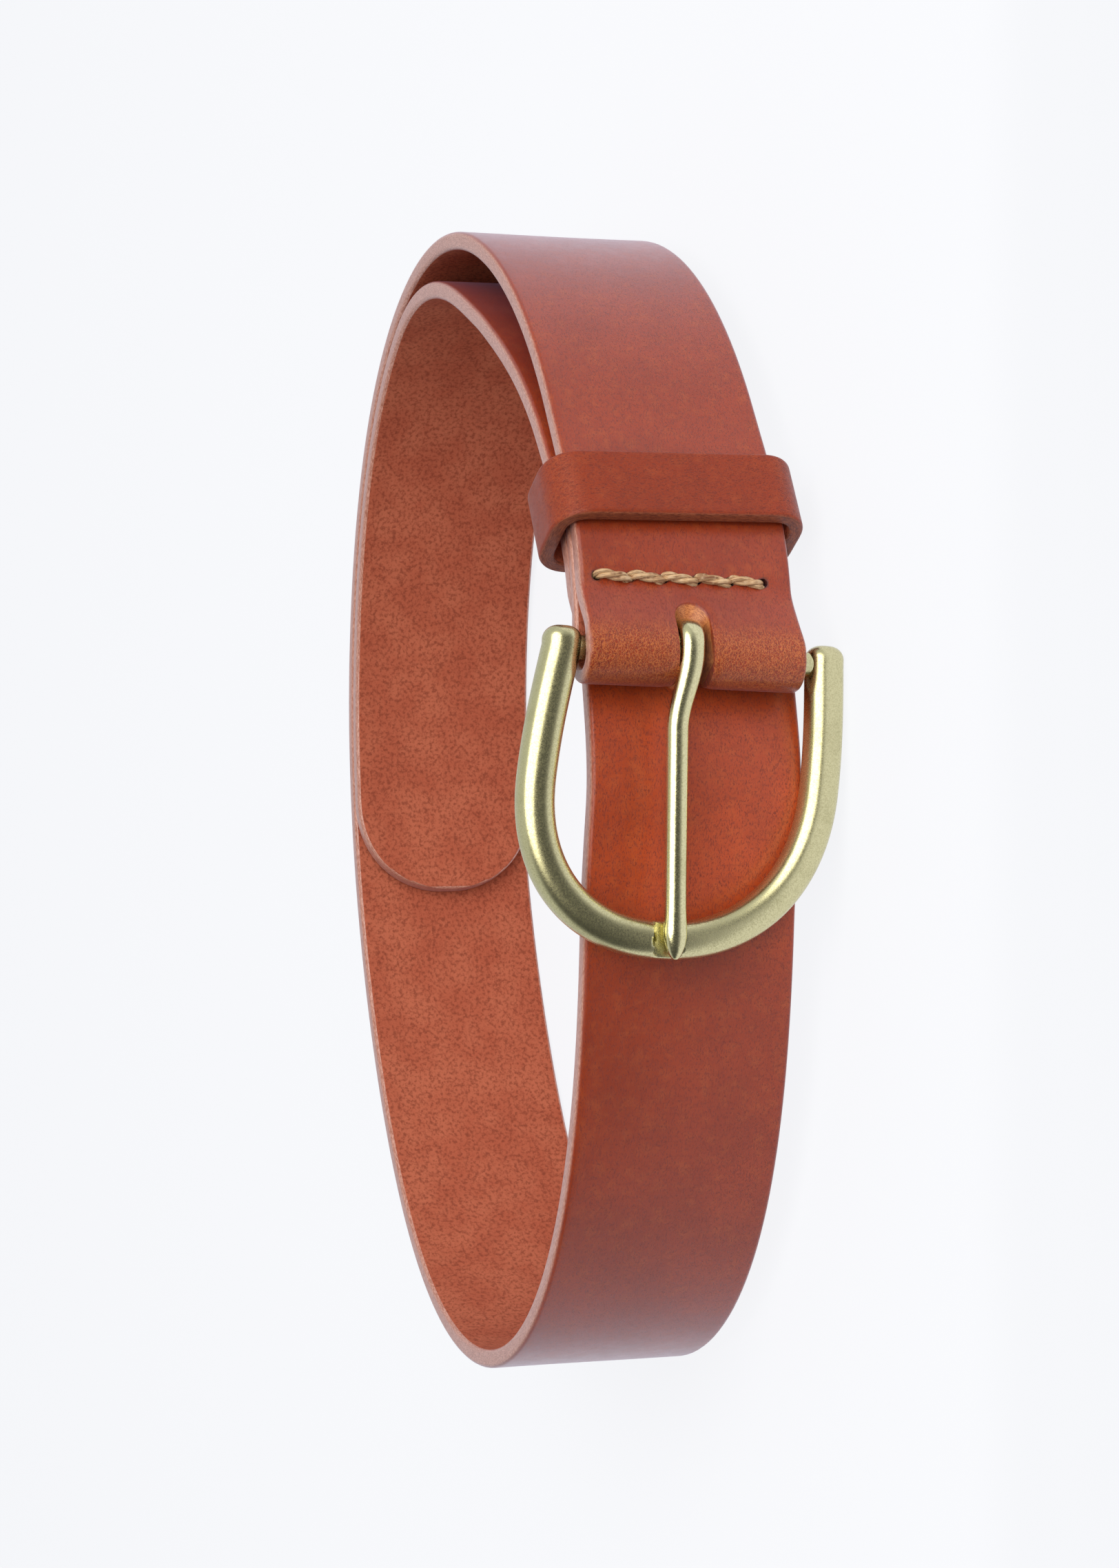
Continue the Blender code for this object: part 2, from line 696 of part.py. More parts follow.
def keeper_place():
    """Keeper's middle, its slide direction and the depths of the layers it holds."""
    middle = strap_centre(KEEPER_AT)
    along = strap_centre(KEEPER_AT + KEEPER_WIDTH / 4) - strap_centre(KEEPER_AT - KEEPER_WIDTH / 4)
    along = along / np.hypot(*along)
    inward = np.array([-along[1], along[0]])
    low = KEEPER_AT - KEEPER_WIDTH / 2 - KEEPER_SLIDE_BACK - KEEPER_SLIDE_MARGIN
    high = KEEPER_AT + KEEPER_WIDTH / 2 + KEEPER_SLIDE_FORE + KEEPER_SLIDE_MARGIN
    depths = []
    heights = []
    for i in range(31):
        run = low + (high - low) * i / 30
        for z in (0.0, STRAP_WIDTH):
            grain = strap_point(run, z, STRAP_THICK / 2)
            flesh = strap_point(run + TURN, z, -STRAP_THICK / 2)
            for spot in (grain, flesh):
                depths.append((np.array(spot[:2]) - middle) @ inward)
                heights.append(spot[2])
    return middle, along, inward, (min(depths), max(depths), min(heights), max(heights))


KEEPER_MIDDLE, KEEPER_ALONG, KEEPER_INWARD, LAYERS = keeper_place()


def keeper_box():
    """Inside faces of the keeper in its own frame: front, back, bottom, top."""
    front = LAYERS[0] - KEEPER_CLEAR
    back = LAYERS[1] + KEEPER_CLEAR + THREAD_SIZE
    return front, back, LAYERS[2] - HALF - KEEPER_BOTTOM_CLEAR, LAYERS[3] - HALF + KEEPER_TOP_CLEAR


def keeper_mesh():
    """Leather loop round the layers, its ends butted at the back."""
    front, back, bottom, top = keeper_box()
    half = KEEPER_THICK / 2
    radius = KEEPER_CORNER + half
    middle = (bottom + top) / 2
    slit = KEEPER_SLIT / 2
    corners = [(back, top, 0), (front, top, 1), (front, bottom, 2), (back, bottom, 3)]
    hole = KEEPER_STITCH_SPAN / 2
    path = [(back + half, middle + slit), (back + half, middle + hole)]
    for y, z, quarter in corners:
        sign_y = 1 if quarter in (0, 3) else -1
        sign_z = 1 if quarter in (0, 1) else -1
        for i in range(7):
            turn = math.pi / 2 * (quarter + i / 6)
            path.append((y - sign_y * KEEPER_CORNER + radius * math.cos(turn),
                         z - sign_z * KEEPER_CORNER + radius * math.sin(turn)))
        if quarter == 1:
            path += [(front - half, middle + hole), (front - half, middle - hole)]
    path += [(back + half, middle - hole), (back + half, middle - slit)]
    rings = []
    count = len(path)
    for i, (y, z) in enumerate(path):
        before = Vector(path[max(0, i - 1)])
        after = Vector(path[min(count - 1, i + 1)])
        along = (after - before).normalized()
        out = (along[1], -along[0])
        pinch = 1 - KEEPER_PINCH * 2 * abs(along[0] * along[1])
        section = [(a, b * pinch if b > 0 else b)
                   for a, b in rounded_section(KEEPER_WIDTH / 2, half, KEEPER_EDGE)]
        rings.append([(a, y + out[0] * b, z + out[1] * b) for a, b in section])
    cutters = []
    for x in (-KEEPER_STITCH_GAUGE / 2, KEEPER_STITCH_GAUGE / 2):
        for z in (middle - hole, middle + hole):
            points, faces = prism(square_outline(x, z, THREAD_HOLE), back - half, back + 3 * half)
            cutters.append(([(a, c, b) for a, b, c in points], faces))
    mesh = worked_mesh("keeper", swept(rings, False), [("DIFFERENCE", cutters)])
    finish_mesh(mesh)
    return mesh


def keeper_thread_mesh():
    """Two stitches across the keeper's butted ends, linked on the inside."""
    _, back, bottom, top = keeper_box()
    middle = (bottom + top) / 2
    half = THREAD_SIZE / 2
    gauge = KEEPER_STITCH_GAUGE / 2
    hole = KEEPER_STITCH_SPAN / 2
    gap = LAYER_GAP / 2
    lines = [[-gauge - half, -gauge + half, gauge - half, gauge + half],
             [back - gap - THREAD_FLAT, back - gap, back + KEEPER_THICK + gap,
              back + KEEPER_THICK + gap + THREAD_FLAT],
             [middle - hole - half, middle - hole + half, middle + hole - half, middle + hole + half]]
    solid = set()
    for i in (0, 2):
        for j in (0, 2):
            for k in (0, 1, 2):
                solid.add((i, j, k))
        for k in (0, 2):
            solid.add((i, 1, k))
    solid.add((1, 0, 2))
    mesh = mesh_from("keeper_thread", *cell_solid(lines, solid))
    finish_mesh(mesh)
    return mesh


def rest_turn(corners):
    """Turn that stands the roll on the face of its hull that lies under its middle."""
    work = bmesh.new()
    for corner in corners:
        work.verts.new(corner / MM)
    bmesh.ops.convex_hull(work, input=work.verts)
    bmesh.ops.triangulate(work, faces=work.faces)
    work.normal_update()
    middle = Vector((0.0, COIL_DEPTH_SHIFT))
    down = Vector((0, 0, -1))
    turn = Matrix.Identity(4)
    for face in work.faces:
        below = [vert.co.to_2d() for vert in face.verts]
        if face.normal.z < 0 and intersect_point_tri_2d(middle, *below):
            turn = face.normal.rotation_difference(down).to_matrix().to_4x4()
    work.free()
    return turn


def build():
    for item in list(bpy.data.objects):
        bpy.data.objects.remove(item)
    leather = make_material("strap_leather", (0.30, 0.075, 0.045), 0.48, 0.0)
    loop_leather = make_material("keeper_leather", (0.36, 0.10, 0.05), 0.52, 0.0)
    cast_brass = make_material("frame_brass", (0.62, 0.55, 0.30), 0.34, 1.0)
    prong_brass = make_material("prong_brass", (0.66, 0.58, 0.33), 0.28, 1.0)
    waxed = make_material("waxed_thread", (0.62, 0.48, 0.33), 0.7, 0.0)
    keeper_waxed = make_material("keeper_waxed_thread", (0.58, 0.45, 0.31), 0.7, 0.0)

    skew_along = Vector((FRAME_ALONG[0], FRAME_ALONG[1], 0.0))
    frame_in = Vector((-FRAME_OUT[0], -FRAME_OUT[1], 0.0))
    up = Vector((0, 0, 1))
    frame_x = skew_along * math.cos(BUCKLE_SKEW) - up * math.sin(BUCKLE_SKEW)
    frame_z = up * math.cos(BUCKLE_SKEW) + skew_along * math.sin(BUCKLE_SKEW)
    bar = Vector((BAR_CENTRE[0], BAR_CENTRE[1], HALF + end_rise(0.0)))
    bar = (bar - frame_z * FRAME_DROP) * MM
    buckle_place = Matrix.Translation(bar) @ Matrix((frame_x, frame_in, frame_z)).transposed().to_4x4()
    slide = Vector((KEEPER_ALONG[0], KEEPER_ALONG[1], 0.0))
    keeper_in = Vector((KEEPER_INWARD[0], KEEPER_INWARD[1], 0.0))
    hold = Vector((KEEPER_MIDDLE[0], KEEPER_MIDDLE[1], HALF)) * MM
    keeper_at = Matrix.Translation(hold) @ Matrix((slide, keeper_in, up)).transposed().to_4x4()

    pieces = [
        add_object("strap", strap_mesh(), leather),
        add_object("turnback_thread", turnback_thread_mesh(), waxed),
        add_object("buckle_frame", frame_mesh(), cast_brass, buckle_place),
        add_object("prong", prong_mesh(), prong_brass, buckle_place),
        add_object("keeper", keeper_mesh(), loop_leather, keeper_at),
        add_object("keeper_thread", keeper_thread_mesh(), keeper_waxed, keeper_at),
    ]

    corners = []
    for item in pieces:
        corners += [item.matrix_basis @ vert.co for vert in item.data.vertices]
    turn = rest_turn(corners)
    stood = [turn @ corner for corner in corners]
    low = Vector([min(corner[axis] for corner in stood) for axis in range(3)])
    high = Vector([max(corner[axis] for corner in stood) for axis in range(3)])
    base = Vector(((low.x + high.x) / 2, (low.y + high.y) / 2, low.z))
    root = bpy.data.objects.new("belt", None)
    bpy.context.collection.objects.link(root)
    root.matrix_world = Matrix.Translation(-base) @ turn
    for item in pieces:
        item.parent = root


build()
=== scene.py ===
"""Looks of the rolled leather belt: leather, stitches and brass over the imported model.

Shapes are worked out in millimetres in the roll's own frame, where Z runs across the strap,
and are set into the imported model's frame when their meshes are made.
"""
import json
import math

import bpy
import numpy as np
from mathutils import Matrix, Vector


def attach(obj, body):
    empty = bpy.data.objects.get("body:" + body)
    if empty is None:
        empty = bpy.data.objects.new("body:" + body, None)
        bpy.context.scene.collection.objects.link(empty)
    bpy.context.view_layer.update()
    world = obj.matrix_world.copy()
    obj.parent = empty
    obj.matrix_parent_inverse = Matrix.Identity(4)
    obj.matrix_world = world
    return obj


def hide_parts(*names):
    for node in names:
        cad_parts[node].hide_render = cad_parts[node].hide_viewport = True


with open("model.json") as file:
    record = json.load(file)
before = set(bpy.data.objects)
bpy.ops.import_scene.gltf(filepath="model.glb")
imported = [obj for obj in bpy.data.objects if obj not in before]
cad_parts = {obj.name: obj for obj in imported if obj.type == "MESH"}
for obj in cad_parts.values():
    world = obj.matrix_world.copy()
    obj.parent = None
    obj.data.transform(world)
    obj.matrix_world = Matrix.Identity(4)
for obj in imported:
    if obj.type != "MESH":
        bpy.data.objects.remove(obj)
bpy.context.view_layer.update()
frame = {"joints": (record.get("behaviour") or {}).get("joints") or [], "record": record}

MM = 0.001

# Strap, as in the part's source
STRAP_WIDTH = 40.0
STRAP_THICK = 3.6
FOLD_THICK = 2.7
FLAP_THICK = 2.2
FLAP_EDGE = 1.0
FLAP_SKIVE = 9.0
FLAP_LENGTH = 31.0
EDGE_ROUND = 0.9
LAYER_GAP = 0.3
TIP_ROUND = 21.0
TIP_SHOULDER = 2.2
COIL_RADIUS = 95.5
COIL_OVAL = 14.7
COIL_OVAL_TURN = math.radians(9.0)
COIL_EGG = 1.8
COIL_EGG_TURN = math.radians(70.5)
COIL_BOX = 1.6
COIL_BOX_TURN = math.radians(14.0)
COIL_DEPTH_SHIFT = 6.5
COIL_TANGENT = 1.0
BAR_X = 22.0
TIP_REACH = 310.0
TIP_DROP = 2.0
TIP_DROP_RUN = 48.0
ROLL_GAP = 9.0
ROLL_GAP_START = 32.0
ROLL_GAP_RISE = 66.0
ROLL_GAP_HOLD = 6.0
ROLL_GAP_FADE = 68.0
BAR_STANDOFF = 4.0
CONVERGE = 12.0
STITCH_REST = 1.1
MAIN_SETTLE = 50.0
DIP_RUN = 26.0
HOLE_SIZE = 4.6
HOLE_COUNT = 5
HOLE_FIRST = 160.0
HOLE_PITCH = 25.0

# Slot and stitch row
SLOT_WIDTH = 6.5
SLOT_FRONT = 8.2
SLOT_BACK = 9.5
SLOT_RISE = 0.7
STITCH_ROW = 13.2
STITCH_COUNT = 5
STITCH_PITCH = 6.28
STITCH_RISE = 1.2
STITCH_HOLE = 1.8

# Buckle frame and prong
BAR_SIZE = 4.4
BAR_CLEAR = 0.9
FRAME_LENGTH = 50.6
FRAME_HALF_AT_BAR = 24.8
FRAME_HALF_WIDEST = 26.5
FRAME_WIDEST_AT = 22.6
FRAME_END_POWER = 2.2
FRAME_DRIFT = 4.3
FRAME_DROP = 1.1
FRAME_TOP = 3.6
FRAME_TOP_ROUND = 2.5
WIRE_WIDTH = 6.8
WIRE_DEPTH = 6.6
WIRE_POWER = 2.5
FRAME_SEAT = 0.5
BUCKLE_SKEW = math.radians(4.0)
SKEW_AT_FOLD = 0.6
SKEW_AT_STITCH = 0.5
SKEW_END = 40.0
NOTCH_CLEAR_INNER = 2.0
NOTCH_CLEAR_OUTER = 1.1
NOTCH_SHIFT = 0.9
NOTCH_FLOOR = 0.7
NOTCH_DEPTH = 1.5
NOTCH_OVERRUN = 1.0
NOTCH_SOFT = 0.15
PRONG_WIDTH = 3.85
PRONG_LOOP_WIDTH = 4.4
PRONG_THICK = 3.2
PRONG_CLEAR = 1.0
PRONG_TIP = 4.6
PRONG_TIP_POWER = 1.7
PRONG_TIP_SIZE = 0.5
PRONG_LEAF = 0.3
PRONG_LEAF_RUN = 3.0
PRONG_POWER = 2.4
PRONG_LOOP_POWER = 2.9
PRONG_RISE = 0.5
PRONG_SIDE = 0.3
PRONG_SWAY = 2.25
PRONG_SWAY_RUN = 13.5
PRONG_SWAY_BACK = 1.25
PRONG_SEAT_GAP = 0.3
LOOP_WRAP = math.radians(285.0)

# Keeper
KEEPER_AT = 29.6
KEEPER_WIDTH = 13.6
KEEPER_THICK = 3.0
KEEPER_TOP_CLEAR = 0.9
KEEPER_BOTTOM_CLEAR = 1.1
KEEPER_CLEAR = 0.6
KEEPER_CORNER = 4.4
KEEPER_CORNER_POWER = 2.6
KEEPER_PINCH = 0.2
KEEPER_EDGE = 0.7
KEEPER_SLIT = 0.5
KEEPER_SLIDE_BACK = 4.0
KEEPER_SLIDE_FORE = 5.0
KEEPER_SLIDE_MARGIN = 1.0
KEEPER_STITCH_GAUGE = 6.6
KEEPER_STITCH_SPAN = 8.0
KEEPER_BOW = 0.5
KEEPER_CRACKLE = 0.12
THREAD_SIZE = 1.5

# Surface shape that only the dressed part has
TABLE_STEP = 0.1
SLOT_LEAN = 0.35
SLOT_SLOPE = 2.2
SLOT_LOW_SLOPE = 0.9
SLOT_REACH = 1.5
SLOT_WALL = 0.5
SLOT_DENT = 0.3
SLOT_DENT_REACH = 1.1
HOLE_DENT = 0.3
HOLE_DENT_REACH = 1.3
ROW_DENT = 0.15
ROW_DENT_REACH = 1.8
FOLD_BULGE = 0.4
WAVE = 0.06
WAX_IOR = 1.35
# Painted light: the strap is painted lighter from the first length before the bar, fading in over the
# second, up to the stitch row
PAINTED_LIGHT_FROM = 56.0
PAINTED_LIGHT_FADE = 8.0
PLY_COUNT = 3
PLY_RADIUS = 0.48
PLY_OFFSET = 0.46
PLY_PITCH = 9.0
STITCH_STAND = 0.35
STITCH_SINK = 1.5
STITCH_SLANT = 0.5
STITCH_SHOULDER = 5

# Spacing and counts of mesh points
COARSE_PITCH = 3.0
BEHIND_PITCH = 1.5
END_PITCH = 1.2
FINE_PITCH = 0.42
EDGE_PITCH = 1.1
SLOT_PITCH = 0.4
KEEPER_PITCH = 0.8
STITCH_STEPS = 40
FRAME_SIDES = 72
PRONG_SIDES = 40
FLESH_SHARE = 0.46

# Camera fitted to the photograph
CAMERA_PITCH = 0.314159
CAMERA_ROLL = 0.008827
CAMERA_DISTANCE = 644.9
CAMERA_AIM = 20.0
CAMERA_FOCUS_PX = 4670.235
PHOTO_LONG_SIDE = 2275
SENSOR_MM = 36.0

# Stage, in metres
FLOOR_REACH = 5.0
FLOOR_FRONT = -0.2
FLOOR_DIM_START = -0.13
FLOOR_DIM_FULL = -0.175
FLOOR_GLOW = 0.88
FLOOR_FRONT_GLOW = 0.95
ROOM_FRONT = (-0.4, -0.9, 0.1)
ROOM_DIM_START = 0.1
ROOM_DIM_FULL = 0.75
ROOM_BRIGHT = 0.65
ROOM_DIM = 0.08
WINDOW_SIZE = 1.6
WINDOW_POWER = 19.5
WINDOW_AT = (0.42, -0.95, 0.85)

HALF = STRAP_WIDTH / 2
BAR_RADIUS = BAR_SIZE / 2
FOLD_MID = BAR_RADIUS + BAR_CLEAR + FOLD_THICK / 2
FOLD_OUT = BAR_RADIUS + BAR_CLEAR + FOLD_THICK
FOLD_ARC = math.pi * FOLD_MID
PRONG_OUT = BAR_RADIUS + PRONG_CLEAR + PRONG_THICK
PRONG_LENGTH = FRAME_LENGTH + WIRE_WIDTH / 2


def smooth(x):
    x = min(1.0, max(0.0, x))
    return x * x * (3 - 2 * x)


def ramp(x, x0, x1, a, b):
    return a + (b - a) * smooth((x - x0) / (x1 - x0))


# Plan curve of the roll, sampled by length from the bar
ANGLES = np.linspace(0, 2 * math.pi, 2881)
RADII = (COIL_RADIUS + COIL_OVAL * np.cos(2 * (ANGLES - COIL_OVAL_TURN))
         + COIL_EGG * np.cos(3 * (ANGLES - COIL_EGG_TURN))
         + COIL_BOX * np.cos(4 * (ANGLES - COIL_BOX_TURN)))
PLAN_X = RADII * np.cos(ANGLES)
PLAN_Y = RADII * np.sin(ANGLES) + COIL_DEPTH_SHIFT
RUN = np.concatenate([[0], np.cumsum(np.hypot(np.diff(PLAN_X), np.diff(PLAN_Y)))])
TURN = float(RUN[-1])
FRONT = (PLAN_Y < 0) & (PLAN_X > -COIL_RADIUS / 2) & (PLAN_X < COIL_RADIUS / 2)
BAR_RUN = float(np.interp(BAR_X, PLAN_X[FRONT], RUN[FRONT]))
TIP_END = TURN + TIP_REACH


def coil(run):
    """Point and outward normal of the plan curve at a length from the bar."""
    def at(r):
        r = (r + BAR_RUN) % TURN
        return np.array([np.interp(r, RUN, PLAN_X), np.interp(r, RUN, PLAN_Y)])
    step = at(run + COIL_TANGENT) - at(run - COIL_TANGENT)
    step = step / np.hypot(*step)
    return at(run), np.array([step[1], -step[0]])


def seam_offset(run):
    """Offset of the line between the main layer and the turned-back flap."""
    near = ramp(run, 0, STITCH_ROW, BAR_STANDOFF, STITCH_REST)
    far = -(STRAP_THICK + LAYER_GAP) / 2 - STITCH_REST
    return near + ramp(run, STITCH_ROW, MAIN_SETTLE, 0, far)


def flap_edge_thick(run):
    skive = ramp(run, FLAP_LENGTH - FLAP_SKIVE, FLAP_LENGTH, 0, FLAP_THICK - FLAP_EDGE)
    return ramp(run, 0, CONVERGE, FOLD_THICK, FLAP_THICK) - skive


def main_offset(run):
    if run > MAIN_SETTLE:
        return 0.0
    return seam_offset(run) + ramp(run, 0, CONVERGE, FOLD_MID, (STRAP_THICK + LAYER_GAP) / 2)


def flap_offset(run):
    half = ramp(run, 0, CONVERGE, FOLD_MID, (flap_edge_thick(run) + LAYER_GAP) / 2)
    return seam_offset(run) - half


def tip_offset(run):
    """Offset of the tip layer, with run counted from the bar on the second turn."""
    turnback_out = max(FOLD_OUT, PRONG_OUT)
    behind_bar = BAR_STANDOFF - turnback_out - LAYER_GAP - STRAP_THICK / 2
    if run < 0:
        return ramp(run, -DIP_RUN, 0, 0, behind_bar)
    full = ramp(run, 0, CONVERGE, turnback_out, FLAP_THICK + LAYER_GAP / 2)
    under_flap = seam_offset(run) - full - LAYER_GAP - STRAP_THICK / 2
    settled = -(STRAP_THICK + LAYER_GAP)
    held = ROLL_GAP_START + ROLL_GAP_RISE + ROLL_GAP_HOLD
    if run > held:
        return settled - ramp(run, held, held + ROLL_GAP_FADE, ROLL_GAP, 0)
    share = smooth((run - ROLL_GAP_START) / ROLL_GAP_RISE)
    return under_flap * (1 - share) + (settled - ROLL_GAP) * share


BAR_BASE, BAR_OUT = coil(0.0)
BAR_CENTRE = BAR_BASE + BAR_OUT * BAR_STANDOFF
BAR_ALONG = np.array([-BAR_OUT[1], BAR_OUT[0]])


def frame_half(x):
    """Half-width of the frame's middle line at a distance from the bar."""
    if x < FRAME_WIDEST_AT:
        rise = math.sin(math.pi / 2 * max(0.0, x) / FRAME_WIDEST_AT)
        return FRAME_HALF_AT_BAR + (FRAME_HALF_WIDEST - FRAME_HALF_AT_BAR) * rise
    left = min(1.0, (x - FRAME_WIDEST_AT) / (FRAME_LENGTH - FRAME_WIDEST_AT))
    return FRAME_HALF_WIDEST * (1 - left ** FRAME_END_POWER) ** (1 / FRAME_END_POWER)


def seat_angle():
    """Turn of the frame about the bar at which its end lies on the strap."""
    reach = FRAME_LENGTH + WIRE_WIDTH / 2
    stand = STRAP_THICK / 2 + WIRE_DEPTH / 2 + FRAME_SEAT
    turns = []
    for i in range(61):
        x = reach * i / 60
        if frame_half(x) - WIRE_WIDTH / 2 < HALF + FRAME_SEAT:
            base, out = coil(-x)
            way = base + out * stand - BAR_CENTRE
            turns.append(math.atan2(way @ BAR_OUT, -way @ BAR_ALONG))
    return max(turns)


SEAT_TURN = seat_angle()
FRAME_ALONG = BAR_ALONG * math.cos(SEAT_TURN) - BAR_OUT * math.sin(SEAT_TURN)
FRAME_OUT = np.array([FRAME_ALONG[1], -FRAME_ALONG[0]])


def strap_centre(p):
    """Middle of the strap in plan: flap below -FOLD_ARC, fold to 0, then the roll."""
    if p < -FOLD_ARC:
        run = -p - FOLD_ARC
        base, out = coil(run)
        return base + out * flap_offset(run)
    if p < 0:
        turn = (p + FOLD_ARC) / FOLD_MID
        return BAR_CENTRE - FOLD_MID * (BAR_OUT * math.cos(turn) + BAR_ALONG * math.sin(turn))
    base, out = coil(p)
    if p < TURN - DIP_RUN:
        return base + out * main_offset(p)
    return base + out * tip_offset(p - TURN)


def strap_thick(p):
    if p < -FOLD_ARC:
        return flap_edge_thick(-p - FOLD_ARC)
    if p < 0:
        return FOLD_THICK
    return ramp(p, 0, CONVERGE, FOLD_THICK, STRAP_THICK)


def bar_run(p):
    """Length from the bar along whichever layer this place belongs to."""
    if p < -FOLD_ARC:
        return -p - FOLD_ARC
    if p < 0:
        return 0.0
    return p if p < TURN / 2 else p - TURN


def skew_share(run):
    """How much of the buckle's skew the strap takes up at this length from the bar."""
    if run < 0:
        return ramp(run, -DIP_RUN, 0, 0, SKEW_AT_FOLD)
    if run < STITCH_ROW:
        return ramp(run, 0, STITCH_ROW, SKEW_AT_FOLD, SKEW_AT_STITCH)
    return ramp(run, STITCH_ROW, SKEW_END, SKEW_AT_STITCH, 0)


RISE_RUN = np.linspace(0, SKEW_END, 81)
RISE_SLOPE = np.array([skew_share(run) for run in RISE_RUN]) * math.tan(BUCKLE_SKEW)
RISE = np.concatenate([[0], np.cumsum((RISE_SLOPE[1:] + RISE_SLOPE[:-1]) / 2 * np.diff(RISE_RUN))])


def end_rise(p):
    """Lift of the strap's buckle end, which turns in its own plane, and drop of the layer behind it."""
    run = bar_run(p)
    if p < TURN / 2:
        return float(RISE[-1] - np.interp(run, RISE_RUN, RISE))
    if run < 0:
        return ramp(run, -TIP_DROP_RUN, 0, 0, -TIP_DROP)
    return ramp(run, 0, STITCH_ROW, -TIP_DROP, 0)


# The strap's path sampled along its length, for placing many points at once
PATH = np.arange(-FOLD_ARC - FLAP_LENGTH - 1, TIP_END + 1, TABLE_STEP)
PATH_CENTRE = np.array([strap_centre(p) for p in PATH])
PATH_STEP = np.gradient(PATH_CENTRE, axis=0)
PATH_STEP = PATH_STEP / np.linalg.norm(PATH_STEP, axis=1)[:, None]
PATH_THICK = np.array([strap_thick(p) for p in PATH])
PATH_LEAN = np.array([skew_share(bar_run(p)) for p in PATH]) * math.tan(BUCKLE_SKEW)
PATH_RISE = np.array([end_rise(p) for p in PATH])


def along_path(p, values):
    return np.interp(p, PATH, values)


def strap_points(flat):
    """Places in the roll of flat strap points (length, height, depth to the grain side)."""
    p, z, n = np.asarray(flat, float).T
    step_x = along_path(p, PATH_STEP[:, 0])
    step_y = along_path(p, PATH_STEP[:, 1])
    size = np.hypot(step_x, step_y)
    depth = n * along_path(p, PATH_THICK) / STRAP_THICK
    lean = along_path(p, PATH_LEAN) * (z - HALF)
    x = along_path(p, PATH_CENTRE[:, 0]) + step_y / size * depth + FRAME_ALONG[0] * lean
    y = along_path(p, PATH_CENTRE[:, 1]) - step_x / size * depth + FRAME_ALONG[1] * lean
    return np.stack([x, y, z + along_path(p, PATH_RISE)], axis=1)


def roll_place():
    """Place of the roll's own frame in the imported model, from its mount and its bar."""
    joints = {joint["name"]: joint for joint in frame["joints"]}
    foot = Vector(frame["record"]["mounts"][0]["axis"])
    turn = Vector((0, 0, -1)).rotation_difference(foot).to_matrix().to_4x4()
    bar = Vector((BAR_CENTRE[0], BAR_CENTRE[1], HALF + end_rise(0.0)))
    bar = (bar - BUCKLE_AXES[2] * FRAME_DROP) * MM
    return Matrix.Translation(Vector(joints["buckle_swing"]["pos_m"]) - turn @ bar) @ turn, bar


UP = Vector((0, 0, 1))
SKEWED = Vector((FRAME_ALONG[0], FRAME_ALONG[1], 0.0))
BUCKLE_AXES = (SKEWED * math.cos(BUCKLE_SKEW) - UP * math.sin(BUCKLE_SKEW),
               Vector((-FRAME_OUT[0], -FRAME_OUT[1], 0.0)),
               UP * math.cos(BUCKLE_SKEW) + SKEWED * math.sin(BUCKLE_SKEW))
ROLL, BAR = roll_place()
BUCKLE = ROLL @ Matrix.Translation(BAR) @ Matrix(BUCKLE_AXES).transposed().to_4x4()


def swept(rings, closed):
    """Points and faces of a skin over equal rings, capped where it is open."""
    size = len(rings[0])
    points = [p for ring in rings for p in ring]
    faces = []
    count = len(rings)
    for i in range(count if closed else count - 1):
        a = i * size
        b = (i + 1) % count * size
        for j in range(size):
            k = (j + 1) % size
            faces.append((a + j, a + k, b + k, b + j))
    if not closed:
        faces.append(tuple(reversed(range(size))))
        faces.append(tuple(range((count - 1) * size, count * size)))
    return points, faced_out(points, faces)


def faced_out(points, faces):
    """Faces of a closed skin, all turned round if they look inward."""
    corners = [(face[0], face[i], face[i + 1]) for face in faces for i in range(1, len(face) - 1)]
    a, b, c = np.asarray(points, float)[np.array(corners).T]
    volume = (a * np.cross(b, c)).sum()
    return faces if volume > 0 else [tuple(reversed(face)) for face in faces]


def merged(parts):
    points = []
    faces = []
    for part_points, part_faces in parts:
        base = len(points)
        points.extend(part_points)
        faces.extend(tuple(base + i for i in face) for face in part_faces)
    return points, faces


def prism(outline, low, high):
    count = len(outline)
    points = [(a, b, low) for a, b in outline] + [(a, b, high) for a, b in outline]
    faces = [tuple(reversed(range(count))), tuple(range(count, 2 * count))]
    for i in range(count):
        k = (i + 1) % count
        faces.append((i, k, count + k, count + i))
    return points, faces


def disc(at, middle, size, steps):
    turns = [2 * math.pi * i / steps for i in range(steps)]
    return [(at + size / 2 * math.cos(turn), middle + size / 2 * math.sin(turn)) for turn in turns]


def rounded_section(half_a, half_b, edge, steps, flats):
    """Corner-rounded rectangle, counter-clockwise, with extra points on its long sides."""
    section = []
    for quarter in range(4):
        sign_a = 1 if quarter in (0, 3) else -1
        sign_b = 1 if quarter in (0, 1) else -1
        for i in range(steps + 1):
            turn = math.pi / 2 * (quarter + i / steps)
            section.append((sign_a * (half_a - edge) + edge * math.cos(turn),
                            sign_b * (half_b - edge) + edge * math.sin(turn)))
        if quarter in (0, 2):
            for i in range(1, flats):
                share = 1 - 2 * i / flats
                section.append((sign_a * (half_a - edge) * share, sign_b * half_b))
    return section


def boxy(turn, power):
    """Point of a curve between a circle and a square, squarer with a higher power."""
    return [math.copysign(abs(v) ** (2 / power), v) for v in (math.cos(turn), math.sin(turn))]


def round_section(half_a, half_b, power, sides):
    section = []
    for k in range(sides):
        a, b = boxy(2 * math.pi * k / sides, power)
        section.append((half_a * a, half_b * b))
    return section


def spaced(start, stop, pitch):
    count = max(1, round((stop - start) / pitch))
    return [start + (stop - start) * i / count for i in range(count)]


def raw_mesh(name, points, faces, scale=1.0):
    mesh = bpy.data.meshes.new(name)
    mesh.from_pydata([Vector(p) * scale for p in points], [], faces)
    return mesh


def soften(mesh, sharp):
    mesh.shade_smooth()
    mesh.set_sharp_from_angle(angle=math.radians(sharp))


